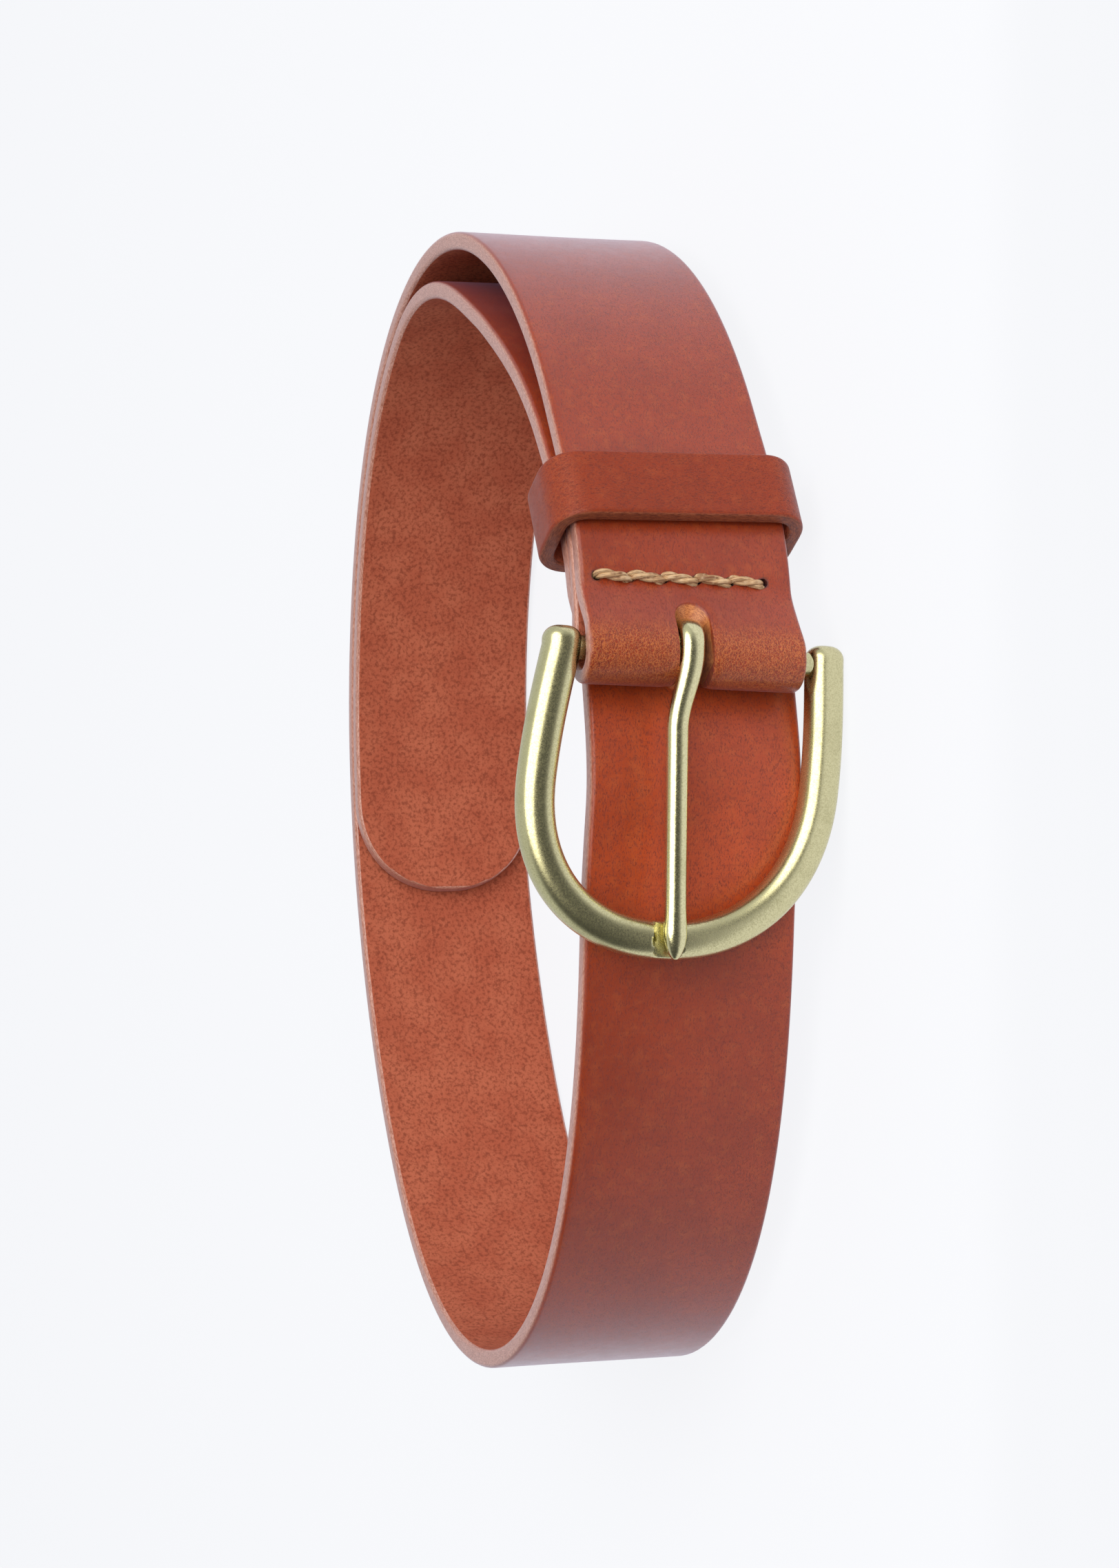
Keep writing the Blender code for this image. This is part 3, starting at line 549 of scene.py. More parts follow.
def cut_mesh(name, solid, cutters):
    """Mesh of one solid with the cutters taken out, still in millimetres times MM."""
    body = bpy.data.objects.new(name, raw_mesh(name, *solid, scale=MM))
    tool = bpy.data.objects.new(name + "_cutter", raw_mesh(name + "_cutter", *merged(cutters), scale=MM))
    for item in (body, tool):
        bpy.context.scene.collection.objects.link(item)
    cut = body.modifiers.new("cut", "BOOLEAN")
    cut.operation = "DIFFERENCE"
    cut.solver = "MANIFOLD"
    cut.object = tool
    graph = bpy.context.evaluated_depsgraph_get()
    mesh = bpy.data.meshes.new_from_object(body.evaluated_get(graph))
    mesh.materials.clear()
    for item in (body, tool):
        old = item.data
        bpy.data.objects.remove(item)
        bpy.data.meshes.remove(old)
    return mesh


def set_field(mesh, name, values):
    """Stores one vector or number per point for the materials to read."""
    values = np.asarray(values, np.float32)
    vector = values.ndim == 2
    field = mesh.attributes.new(name, "FLOAT_VECTOR" if vector else "FLOAT", "POINT")
    field.data.foreach_set("vector" if vector else "value", values.ravel())


def coordinates(mesh):
    values = np.zeros(len(mesh.vertices) * 3, np.float32)
    mesh.vertices.foreach_get("co", values)
    return values.reshape(-1, 3).astype(float)


def set_coordinates(mesh, values):
    mesh.vertices.foreach_set("co", np.asarray(values, np.float32).ravel())
    mesh.update()


def placed(points, matrix):
    """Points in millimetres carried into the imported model's frame."""
    turn = np.array(matrix.to_3x3())
    return np.asarray(points, float) * MM @ turn.T + np.array(matrix.translation)


def add_piece(name, mesh, materials, body, node):
    for material in materials:
        mesh.materials.append(material)
    piece = bpy.data.objects.new(name, mesh)
    bpy.context.scene.collection.objects.link(piece)
    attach(piece, body)
    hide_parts(node)
    return piece


def stitch_heights():
    low = HALF + STITCH_RISE - STITCH_PITCH * STITCH_COUNT / 2
    return [low + STITCH_PITCH * i for i in range(STITCH_COUNT + 1)]


def tip_half(p):
    """Half-width of the strap, drawn in round the tip."""
    left = min(1.0, max(0.0, 1 - (TIP_END - p) / TIP_ROUND))
    return HALF * (1 - left ** TIP_SHOULDER) ** (1 / TIP_SHOULDER)


def strap_section():
    """Ring of the strap as (height from the middle, depth), close-set beside the slot."""
    flat_half = HALF - EDGE_ROUND
    close = SLOT_WIDTH / 2 + 2.0
    heights = spaced(-flat_half, SLOT_RISE - close, EDGE_PITCH)
    heights += spaced(SLOT_RISE - close, SLOT_RISE + close, SLOT_PITCH)
    heights += spaced(SLOT_RISE + close, flat_half, EDGE_PITCH)
    heights.append(flat_half)
    steps = 5
    deep = STRAP_THICK / 2
    ring = [(h, deep) for h in reversed(heights)]
    for side, sign in ((-1, 1), (1, -1)):
        for low in (0, 1):
            for i in range(steps + 1):
                turn = math.pi / 2 * i / steps
                if low == 0:
                    arc = (math.sin(turn), math.cos(turn))
                else:
                    arc = (math.cos(turn), -math.sin(turn))
                if i or low:
                    ring.append((side * (flat_half + EDGE_ROUND * arc[0]),
                                 sign * (deep - EDGE_ROUND) * (1 - 2 * low) + sign * EDGE_ROUND * arc[1]))
        if side < 0:
            ring += [(h, -deep) for h in heights[1:]]
    return ring[:-1]


def tip_depth(p, height, depth):
    """Depth of a point near the tip's end, where the edge is rounded as along the sides."""
    half = tip_half(p)
    if p < TIP_END - TIP_ROUND:
        return depth
    inside = min(TIP_END - p, max(0.0, half - abs(height)))
    over = max(0.0, EDGE_ROUND - inside)
    limit = STRAP_THICK / 2 - EDGE_ROUND + math.sqrt(max(0.0, EDGE_ROUND ** 2 - over ** 2))
    return max(-limit, min(limit, depth))


def slot_outline():
    """Stadium of the prong's slot, and the ends of its middle line."""
    radius = SLOT_WIDTH / 2
    ends = (-FOLD_ARC - SLOT_BACK + radius, SLOT_FRONT - radius)
    middle = HALF + SLOT_RISE
    outline = []
    for end, start in ((ends[1], -math.pi / 2), (ends[0], math.pi / 2)):
        for i in range(25):
            turn = start + math.pi * i / 24
            outline.append((end + radius * math.cos(turn), middle + radius * math.sin(turn)))
    return outline, ends, middle


def strap_mesh():
    """Flat strap with its slot and holes, dented where it is worked, then rolled."""
    slot, slot_ends, slot_middle = slot_outline()
    stations = spaced(-FOLD_ARC - FLAP_LENGTH, slot_ends[0] - 6, END_PITCH)
    stations += spaced(slot_ends[0] - 6, STITCH_ROW + 3, FINE_PITCH)
    stations += spaced(STITCH_ROW + 3, MAIN_SETTLE, END_PITCH)
    stations += spaced(MAIN_SETTLE, TURN - DIP_RUN - 10, COARSE_PITCH)
    stations += spaced(TURN - DIP_RUN - 10, TURN + MAIN_SETTLE, BEHIND_PITCH)
    stations += spaced(TURN + MAIN_SETTLE, TIP_END - TIP_ROUND, COARSE_PITCH)
    stations += [TIP_END - TIP_ROUND * (1 - math.sin(math.pi / 2 * i / 36)) for i in range(36)]
    stations.append(TIP_END - TABLE_STEP / 5)
    section = strap_section()
    rings = []
    for p in stations:
        share = tip_half(p) / HALF
        rings.append([(p, HALF + h * share, tip_depth(p, h * share, n)) for h, n in section])
    high = STRAP_THICK
    cutters = [prism(slot, -high, high)]
    for i in range(HOLE_COUNT):
        at = TIP_END - HOLE_FIRST - HOLE_PITCH * i
        cutters.append(prism(disc(at, HALF, HOLE_SIZE, 40), -high, high))
    for z in stitch_heights():
        cutters.append(prism(disc(STITCH_ROW, z, STITCH_HOLE, 14), -high, high))
        cutters.append(prism(disc(-FOLD_ARC - STITCH_ROW, z, STITCH_HOLE, 14), -high, high))
    mesh = cut_mesh("strap_leather", swept(rings, False), cutters)
    flat = coordinates(mesh) / MM
    p, z, n = flat.T
    grain = np.clip(n / (STRAP_THICK / 2), 0, 1)
    on_line = np.clip(p, *slot_ends)
    away = np.hypot(p - on_line, z - slot_middle)
    off_line = np.maximum(away - SLOT_WIDTH / 2, 0)
    way_p = (p - on_line) / np.maximum(away, 1)
    way_z = (z - slot_middle) / np.maximum(away, 1)
    slope = SLOT_SLOPE * np.maximum(way_p, 0) + SLOT_LOW_SLOPE * np.maximum(-way_z, 0)
    lean = -SLOT_LEAN * way_z * grain - slope * np.clip(-n / (STRAP_THICK / 2), 0, 1)
    lean = lean * np.exp(-(off_line / SLOT_REACH) ** 2)
    dent = SLOT_DENT * np.exp(-(off_line / SLOT_DENT_REACH) ** 2)
    # Marks the walls of the stitch holes, which are painted dark as painted shade
    hole_shade = np.zeros(len(p))
    for height in stitch_heights():
        beside = np.hypot(p - STITCH_ROW, z - height)
        dent += HOLE_DENT * np.exp(-(beside / HOLE_DENT_REACH) ** 2)
        hole_shade = np.maximum(hole_shade, beside < STITCH_HOLE / 2 + 0.05)
    in_row = np.clip(np.minimum(z - stitch_heights()[0], stitch_heights()[-1] - z) + 1, 0, 1)
    dent += ROW_DENT * in_row * np.exp(-((p - STITCH_ROW) / ROW_DENT_REACH) ** 2)
    wave = WAVE * (np.sin(p / 11 + z / 17) + np.sin(p / 23 - z / 9 + 1.3))
    bent = np.exp(-(np.maximum(np.abs(p + FOLD_ARC / 2) - FOLD_ARC / 2 - 1, 0) / 2.5) ** 2)
    bulge = FOLD_BULGE * bent * ((z - HALF) / HALF) ** 5
    shaped = np.stack([p + way_p * lean, z + way_z * lean + bulge, n - dent * grain + wave], axis=1)
    set_coordinates(mesh, placed(strap_points(shaped), ROLL))
    set_field(mesh, "flat", flat)
    set_field(mesh, "bend", bent)
    # The slot field marks the slot's wall, which is painted a brighter orange, partly as painted light
    set_field(mesh, "slot", np.exp(-(off_line / SLOT_WALL) ** 2))
    set_field(mesh, "hole_shade", hole_shade)
    # Painted light: the strap inside the buckle, from before the bar to the stitch row, gets a lighter
    # colour as if more lit
    set_field(mesh, "painted_light_patch", np.clip((p - TURN + PAINTED_LIGHT_FROM) / PAINTED_LIGHT_FADE, 0, 1) * (p < TURN + STITCH_ROW))
    soften(mesh, 40.0)
    return mesh


def paint_flesh(mesh, limit):
    """Gives the second material to faces that lie on the flesh side."""
    depth = np.zeros(len(mesh.vertices) * 3, np.float32)
    mesh.attributes["flat"].data.foreach_get("vector", depth)
    depth = depth.reshape(-1, 3)[:, 2]
    for face in mesh.polygons:
        if max(depth[i] for i in face.vertices) < limit:
            face.material_index = 1


def tube(points, radius, sides):
    """Closed tube along points, with its rings turned as little as possible."""
    points = np.asarray(points, float)
    steps = np.gradient(points, axis=0)
    steps = steps / np.linalg.norm(steps, axis=1)[:, None]
    side = np.cross(steps[0], [0.3, 0.5, 0.8])
    rings = []
    for point, step in zip(points, steps):
        side = side - step * (side @ step)
        side = side / np.linalg.norm(side)
        other = np.cross(step, side)
        rings.append([point + radius * (math.cos(turn) * side + math.sin(turn) * other)
                      for turn in (2 * math.pi * k / sides for k in range(sides))])
    return swept(rings, False)


def twisted(line, out, start):
    """Plies laid round a line of points, out being the direction away from the leather."""
    line = np.asarray(line, float)
    out = np.asarray(out, float)
    steps = np.gradient(line, axis=0)
    lengths = np.linalg.norm(steps, axis=1)
    steps = steps / lengths[:, None]
    across = np.cross(steps, out)
    across = across / np.linalg.norm(across, axis=1)[:, None]
    lift = np.cross(across, steps)
    travel = np.concatenate([[0], np.cumsum(np.linalg.norm(np.diff(line, axis=0), axis=1))])
    plies = []
    for number in range(PLY_COUNT):
        turn = start + 2 * math.pi * (number / PLY_COUNT + travel / PLY_PITCH)
        ply = line + PLY_OFFSET * (np.cos(turn)[:, None] * across + np.sin(turn)[:, None] * lift)
        plies.append((ply, travel))
    return plies


def thread_mesh(name, lines, matrix):
    """Mesh of twisted stitches, each line being its points and its outward directions."""
    parts = []
    lay = []
    sides = 10
    for number, (line, out) in enumerate(lines):
        for ply, travel in twisted(line, out, 0.9 * number):
            part = tube(ply, PLY_RADIUS, sides)
            parts.append(part)
            lay += [(length, k / sides, number) for length in travel for k in range(sides)]
    points, faces = merged(parts)
    mesh = raw_mesh(name, placed(points, matrix).tolist(), faces)
    set_field(mesh, "lay", lay)
    soften(mesh, 60.0)
    return mesh


def turnback_lines():
    """Stitches on the grain side, slanted a little, and the run on the flap's back."""
    lines = []
    heights = stitch_heights()
    for low, high in zip(heights[:-1], heights[1:]):
        for side in (1, -1):
            flat = []
            lifted = []
            for i in range(STITCH_STEPS + 1):
                share = i / STITCH_STEPS
                arch = 1 - abs(2 * share - 1) ** STITCH_SHOULDER
                if side > 0:
                    depth = STRAP_THICK / 2 - STITCH_SINK + (STITCH_SINK + STITCH_STAND) * arch
                    slant = STITCH_SLANT * (1 - 2 * share)
                else:
                    back = -STRAP_THICK / 2 - LAYER_GAP - FLAP_THICK
                    depth = back + PLY_RADIUS + PLY_OFFSET + STITCH_SINK * (1 - arch)
                    slant = 0.0
                place = (STITCH_ROW + slant, high + (low - high) * share)
                flat.append((*place, depth))
                lifted.append((*place, depth + side))
            line = strap_points(flat)
            lines.append((line, strap_points(lifted) - line))
    return lines


def frame_path():
    """Middle line of the horseshoe from one leg's end to the other, with the rounding of its ends."""
    quarter = []
    for i in range(13):
        turn = math.pi / 2 * (1 - i / 12)
        quarter.append((FRAME_TOP - FRAME_TOP_ROUND * (1 - math.sin(turn)), FRAME_HALF_AT_BAR,
                        FRAME_TOP_ROUND * (1 - math.cos(turn))))
    for i in range(27):
        x = FRAME_WIDEST_AT * i / 26
        quarter.append((-x, frame_half(x), 0.0))
    for i in range(1, 121):
        turn = math.pi / 2 * i / 120
        side = FRAME_HALF_WIDEST * math.cos(turn) ** (2 / FRAME_END_POWER)
        along = math.sin(turn) ** (2 / FRAME_END_POWER)
        quarter.append((-FRAME_WIDEST_AT - (FRAME_LENGTH - FRAME_WIDEST_AT) * along, side, 0.0))
    return quarter + [(x, -z, inset) for x, z, inset in reversed(quarter[:-1])]


def notched(x, y, z):
    """Depth of a frame point after the prong's seat is filed across the front of the end."""
    inner = -FRAME_LENGTH + WIRE_WIDTH
    outer = -FRAME_LENGTH - WIRE_WIDTH / 2 - NOTCH_OVERRUN
    if x > inner:
        return y
    share = (inner - x) / (inner - outer)
    half = PRONG_WIDTH / 2 + NOTCH_CLEAR_INNER + (NOTCH_CLEAR_OUTER - NOTCH_CLEAR_INNER) * share
    floor = -WIRE_DEPTH / 2 + NOTCH_DEPTH
    slope = (WIRE_DEPTH / 2 + NOTCH_DEPTH) / (half * (1 - NOTCH_FLOOR))
    beside = abs(z - prong_height(-PRONG_LENGTH) - NOTCH_SHIFT) - half * NOTCH_FLOOR
    limit = floor - max(0.0, beside) * slope
    return 0.5 * (y + limit + math.sqrt((y - limit) ** 2 + NOTCH_SOFT ** 2))


def frame_mesh():
    """Horseshoe casting with rounded ends and its round bar, the prong's seat filed in its end."""
    path = frame_path()
    last = len(path) - 1
    drifted = [Vector((x, z - FRAME_DRIFT * min(0.0, x) / FRAME_LENGTH)) for x, z, _ in path]
    rings = []
    for i, (_, _, inset) in enumerate(path):
        along = (drifted[min(last, i + 1)] - drifted[max(0, i - 1)]).normalized()
        across = (along[1], -along[0])
        ring = []
        for a, b in round_section(WIRE_WIDTH / 2 - inset, WIRE_DEPTH / 2 - inset, WIRE_POWER, FRAME_SIDES):
            x = drifted[i][0] + across[0] * a
            z = drifted[i][1] + across[1] * a
            ring.append((x, notched(x, b, z), z))
        rings.append(ring)
    bar = prism(disc(0.0, 0.0, BAR_SIZE, 48), -FRAME_HALF_AT_BAR, FRAME_HALF_AT_BAR)
    points, faces = merged([swept(rings, False), bar])
    mesh = raw_mesh("frame_casting", placed(points, BUCKLE).tolist(), faces)
    soften(mesh, 60.0)
    return mesh


def prong_height(x):
    """Height of the prong's middle over the frame's, which sways and then runs slowly back."""
    sway = PRONG_SIDE + PRONG_SWAY * smooth(-x / PRONG_SWAY_RUN)
    back = max(0.0, -x - PRONG_SWAY_RUN) / (PRONG_LENGTH - PRONG_SWAY_RUN)
    return SLOT_RISE + FRAME_DROP + sway - PRONG_SWAY_BACK * back


def prong_mesh():
    """Bar bent loosely round the frame's bar, then a swayed shank to a leaf-shaped point."""
    loop = PRONG_OUT - PRONG_THICK / 2
    seat = WIRE_DEPTH / 2 - NOTCH_DEPTH + PRONG_SEAT_GAP + PRONG_THICK / 2
    loop_steps = 60
    tip_steps = 30
    path = []
    for i in range(loop_steps):
        turn = math.pi / 2 - LOOP_WRAP * (1 - i / loop_steps)
        along, out = boxy(turn, PRONG_LOOP_POWER)
        path.append((loop * along, loop * out))
    straight = PRONG_LENGTH - PRONG_TIP
    runs = spaced(0.0, straight, 0.45)
    runs += [straight + PRONG_TIP * math.sin(math.pi / 2 * i / tip_steps) for i in range(tip_steps + 1)]
    for run in runs:
        path.append((-run, loop + (seat + PRONG_RISE - loop) * smooth(run / PRONG_LENGTH)))
    rings = []
    count = len(path)
    for i, (x, y) in enumerate(path):
        before = Vector(path[max(0, i - 1)])
        after = Vector(path[min(count - 1, i + 1)])
        along = (after - before).normalized()
        out = (along[1], -along[0])
        run = -x if i >= loop_steps else 0.0
        drawn = min(1.0, max(0.0, run - straight) / PRONG_TIP)
        taper = (1 - drawn ** PRONG_TIP_POWER) ** (1 / PRONG_TIP_POWER)
        leaf = PRONG_LEAF * math.exp(-((run - straight) / PRONG_LEAF_RUN) ** 2)
        width = ramp(run, 0, PRONG_SWAY_RUN, PRONG_LOOP_WIDTH, PRONG_WIDTH) + leaf
        half_a = (PRONG_TIP_SIZE + (PRONG_THICK - PRONG_TIP_SIZE) * taper) / 2
        half_b = (PRONG_TIP_SIZE + (width - PRONG_TIP_SIZE) * taper) / 2
        rings.append([(x + out[0] * a, -(y + out[1] * a), prong_height(-run) + b)
                      for a, b in round_section(half_a, half_b, PRONG_POWER, PRONG_SIDES)])
    points, faces = swept(rings, False)
    mesh = raw_mesh("prong_bar", placed(points, BUCKLE).tolist(), faces)
    soften(mesh, 60.0)
    return mesh


def keeper_place():
    """Keeper's frame and the inside faces it needs to clear the layers along its slide."""
    reach = KEEPER_WIDTH / 4
    middle = strap_centre(KEEPER_AT)
    along = strap_centre(KEEPER_AT + reach) - strap_centre(KEEPER_AT - reach)
    along = along / np.hypot(*along)
    inward = np.array([-along[1], along[0]])
    low = KEEPER_AT - KEEPER_WIDTH / 2 - KEEPER_SLIDE_BACK - KEEPER_SLIDE_MARGIN
    high = KEEPER_AT + KEEPER_WIDTH / 2 + KEEPER_SLIDE_FORE + KEEPER_SLIDE_MARGIN
    runs = np.linspace(low, high, 31)
    spots = []
    for z in (0.0, STRAP_WIDTH):
        spots.append(strap_points([(run, z, STRAP_THICK / 2) for run in runs]))
        spots.append(strap_points([(run + TURN, z, -STRAP_THICK / 2) for run in runs]))
    spots = np.concatenate(spots)
    depths = (spots[:, :2] - middle) @ inward
    front = depths.min() - KEEPER_CLEAR
    back = depths.max() + KEEPER_CLEAR + THREAD_SIZE
    bottom = spots[:, 2].min() - HALF - KEEPER_BOTTOM_CLEAR
    top = spots[:, 2].max() - HALF + KEEPER_TOP_CLEAR
    slide = Vector((along[0], along[1], 0.0))
    axes = Matrix((slide, Vector((inward[0], inward[1], 0.0)), UP)).transposed().to_4x4()
    at = Matrix.Translation(Vector((middle[0], middle[1], HALF)) * MM)
    return ROLL @ at @ axes, (front, back, bottom, top)


KEEPER, KEEPER_BOX = keeper_place()


def keeper_mesh():
    """Leather loop round the layers, its ends butted at the back."""
    front, back, bottom, top = KEEPER_BOX
    half = KEEPER_THICK / 2
    radius = KEEPER_CORNER + half
    middle = (bottom + top) / 2
    slit = KEEPER_SLIT / 2
    corners = [(back, top, 0), (front, top, 1), (front, bottom, 2), (back, bottom, 3)]
    path = [(back + half, z) for z in spaced(middle + slit, top - KEEPER_CORNER, KEEPER_PITCH)]
    for y, z, quarter in corners:
        sign_y = 1 if quarter in (0, 3) else -1
        sign_z = 1 if quarter in (0, 1) else -1
        for i in range(15):
            over_y, over_z = boxy(math.pi / 2 * (quarter + i / 14), KEEPER_CORNER_POWER)
            path.append((y - sign_y * KEEPER_CORNER + radius * over_y,
                         z - sign_z * KEEPER_CORNER + radius * over_z))
        if quarter == 1:
            for z_front in spaced(top - KEEPER_CORNER, bottom + KEEPER_CORNER, KEEPER_PITCH)[1:]:
                bow = 1 - ((z_front - middle) / (top - KEEPER_CORNER - middle)) ** 2
                path.append((front - half - KEEPER_BOW * bow, z_front))
    path += [(back + half, z) for z in spaced(bottom + KEEPER_CORNER, middle - slit, KEEPER_PITCH)[1:]]
    path.append((back + half, middle - slit))
    section = rounded_section(KEEPER_WIDTH / 2, half, KEEPER_EDGE, 4, 22)
    count = len(path)
    rings = []
    flat = []
    bend = []
    travel = 0.0
    for i, (y, z) in enumerate(path):
        before = Vector(path[max(0, i - 1)])
        after = Vector(path[min(count - 1, i + 1)])
        along = (after - before).normalized()
        out = (along[1], -along[0])
        travel += (Vector(path[i]) - before).length
        turned = abs(along[0] * along[1]) * 2
        pinch = 1 - KEEPER_PINCH * turned
        depths = [b * pinch if b > 0 else b for _, b in section]
        rings.append([(a, y + out[0] * depth, z + out[1] * depth) for (a, _), depth in zip(section, depths)])
        flat += [(travel, a, b) for a, b in section]
        bend += [KEEPER_CRACKLE * (1 + 2 * turned)] * len(section)
    points, faces = swept(rings, False)
    mesh = raw_mesh("keeper_leather", placed(points, KEEPER).tolist(), faces)
    set_field(mesh, "flat", flat)
    set_field(mesh, "bend", bend)
    soften(mesh, 40.0)
    return mesh


def keeper_lines():
    """Two stitches across the keeper's butted ends, seen on the inside of the roll."""
    _, back, bottom, top = KEEPER_BOX
    middle = (bottom + top) / 2
    lines = []
    for x in (-KEEPER_STITCH_GAUGE / 2, KEEPER_STITCH_GAUGE / 2):
        for side in (1, -1):
            face = back + KEEPER_THICK if side > 0 else back
            line = []
            for i in range(STITCH_STEPS + 1):
                share = i / STITCH_STEPS
                arch = 1 - abs(2 * share - 1) ** STITCH_SHOULDER
                depth = face + side * (STITCH_STAND * arch - STITCH_SINK * (1 - arch))
                line.append((x, depth, middle + KEEPER_STITCH_SPAN * (share - 0.5)))
            lines.append((line, [(0, side, 0)] * len(line)))
    return lines


class Paint:
    """Node tree of one material, with short calls for the nodes in use."""

    def __init__(self, name):
        self.material = bpy.data.materials.new(name)
        self.material.use_nodes = True
        self.tree = self.material.node_tree
        self.shader = self.tree.nodes["Principled BSDF"]

    def plug(self, socket, value):
        if isinstance(value, bpy.types.NodeSocket):
            self.tree.links.new(value, socket)
        else:
            socket.default_value = value

    def add(self, kind, plugs, **settings):
        node = self.tree.nodes.new(kind)
        for key, value in settings.items():
            setattr(node, key, value)
        for key, value in plugs.items():
            self.plug(node.inputs[key], value)
        return node

    def shade(self, **plugs):
        for key, value in plugs.items():
            self.plug(self.shader.inputs[key.replace("_", " ").title().replace("Ior", "IOR")], value)

    def field(self, name, output="Vector"):
        return self.add("ShaderNodeAttribute", {}, attribute_name=name).outputs[output]

    def object_place(self):
        return self.add("ShaderNodeTexCoord", {}).outputs["Object"]

    def parts(self, vector):
        return self.add("ShaderNodeSeparateXYZ", {0: vector}).outputs

    def scaled(self, vector, scale):
        return self.add("ShaderNodeVectorMath", {0: vector, 1: scale}, operation="MULTIPLY").outputs[0]

    def drifted(self, vector, scale, reach):
        """Places pushed about by a noise, which makes even cells uneven."""
        push = self.add("ShaderNodeTexNoise", {"Vector": vector, "Scale": scale}).outputs["Color"]
        return self.add("ShaderNodeVectorMath", {0: vector, 1: self.scaled(push, (reach,) * 3)}).outputs[0]

    def noise(self, vector, scale, detail=3.0, roughness=0.55):
        plugs = {"Vector": vector, "Scale": scale, "Detail": detail, "Roughness": roughness}
        return self.add("ShaderNodeTexNoise", plugs).outputs["Fac"]

    def cells(self, vector, scale):
        plugs = {"Vector": vector, "Scale": scale}
        return self.add("ShaderNodeTexVoronoi", plugs, feature="DISTANCE_TO_EDGE").outputs["Distance"]

    def span(self, value, low, high, start=0.0, end=1.0):
        plugs = {"Value": value, "From Min": low, "From Max": high, "To Min": start, "To Max": end}
        return self.add("ShaderNodeMapRange", plugs, interpolation_type="SMOOTHSTEP").outputs[0]

    def calc(self, kind, a, b):
        return self.add("ShaderNodeMath", {0: a, 1: b}, operation=kind).outputs[0]

    def mix(self, share, a, b, blend="MIX"):
        plugs = {0: share, 6: a, 7: b}
        return self.add("ShaderNodeMix", plugs, data_type="RGBA", blend_type=blend).outputs[2]

    def bump(self, height, depth_mm, normal=None):
        plugs = {"Height": height, "Distance": depth_mm * MM, "Strength": 1.0}
        if normal is not None:
            plugs["Normal"] = normal
        return self.add("ShaderNodeBump", plugs).outputs[0]


def srgb(*levels):
    """Linear colour from 0 to 255 screen levels."""
    shares = [level / 255 for level in levels]
    return (*[s / 12.92 if s <= 0.04045 else ((s + 0.055) / 1.055) ** 2.4 for s in shares], 1.0)


def grain_paint(name, base, deep, warm, painted_light_patch, edge, edge_dark, thick, gloss):
    """Waxed grain side: lightly clouded dye, pores, crackle where it bends, and fibrous cut edges."""
    paint = Paint(name)
    flat = paint.field("flat")
    depth = paint.parts(flat)[2]
    bend = paint.field("bend", "Fac")
    wide = paint.noise(flat, 0.06, 2.0)
    cloud = paint.noise(flat, 0.4, 4.0, 0.6)
    pore = paint.noise(paint.scaled(flat, (0.7, 1.3, 1.0)), 3.0, 4.0, 0.7)
    streak = paint.noise(paint.scaled(flat, (1.5, 0.2, 1.0)), 1.0, 4.0, 0.6)
    line = paint.span(paint.cells(paint.drifted(flat, 1.5, 0.9), 2.4), 0.0, 0.22)
    # Painted light: the lighter colour mixed in here stands in for more light on the strap inside the buckle
    colour = paint.mix(paint.field("painted_light_patch", "Fac"), base, painted_light_patch)
    colour = paint.mix(paint.calc("MULTIPLY", paint.span(wide, 0.35, 0.65), 0.3), colour, deep)
    colour = paint.mix(paint.calc("MULTIPLY", paint.span(cloud, 0.45, 0.75), 0.12), colour, warm)
    colour = paint.mix(paint.calc("MULTIPLY", paint.span(streak, 0.5, 0.75), 0.3), colour, deep)
    cracked = paint.mix(line, warm, base)
    colour = paint.mix(paint.calc("MULTIPLY", bend, 0.6), colour, cracked)
    colour = paint.mix(paint.calc("MULTIPLY", paint.span(pore, 0.48, 0.66), 0.85), colour, deep)
    fibre = paint.noise(paint.scaled(flat, (0.5, 0.9, 2.6)), 2.2, 5.0, 0.7)
    # The strap's edge colour is partly the burnished edge's own tone and partly painted reflection, made
    # pale and pinkish like the bright room on a waxed edge
    cut = paint.mix(paint.span(fibre, 0.35, 0.65), edge_dark, edge)
    # Partly painted light: the slot's cut wall has its own fibrous orange, painted brighter to make up for
    # the shade inside the slot
    lit_raw_wall = paint.mix(paint.span(fibre, 0.35, 0.65), srgb(160, 82, 40), srgb(220, 142, 82))
    cut = paint.mix(paint.field("slot", "Fac"), cut, lit_raw_wall)
    on_grain = paint.span(depth, 0.34 * thick, 0.47 * thick)
    colour = paint.mix(on_grain, cut, colour)
    # Painted shade: faces round the stitch holes are painted dark brown for the shade inside them
    colour = paint.mix(paint.field("hole_shade", "Fac"), colour, srgb(84, 36, 20))
    crackle = paint.calc("MULTIPLY", paint.calc("SUBTRACT", 1.0, line), bend)
    height = paint.calc("SUBTRACT", crackle, paint.calc("MULTIPLY", paint.span(pore, 0.48, 0.7), 0.6))
    height = paint.calc("MULTIPLY", height, on_grain)
    rough_edge = paint.calc("MULTIPLY", fibre, paint.calc("SUBTRACT", 1.0, on_grain))
    height = paint.calc("ADD", height, paint.calc("MULTIPLY", rough_edge, 2.5))
    paint.shade(base_color=colour, roughness=paint.span(cloud, 0.3, 0.7, 0.34, 0.44),
                normal=paint.bump(height, 0.05))
    paint.shader.inputs["IOR"].default_value = WAX_IOR
    paint.shader.inputs["Coat Weight"].default_value = gloss
    paint.shader.inputs["Coat Roughness"].default_value = 0.3
    paint.shader.inputs["Coat IOR"].default_value = WAX_IOR
    paint.shader.inputs["Sheen Weight"].default_value = 0.1 * gloss
    paint.shader.inputs["Sheen Roughness"].default_value = 0.4
    paint.shader.inputs["Sheen Tint"].default_value = srgb(206, 200, 255)
    return paint.material


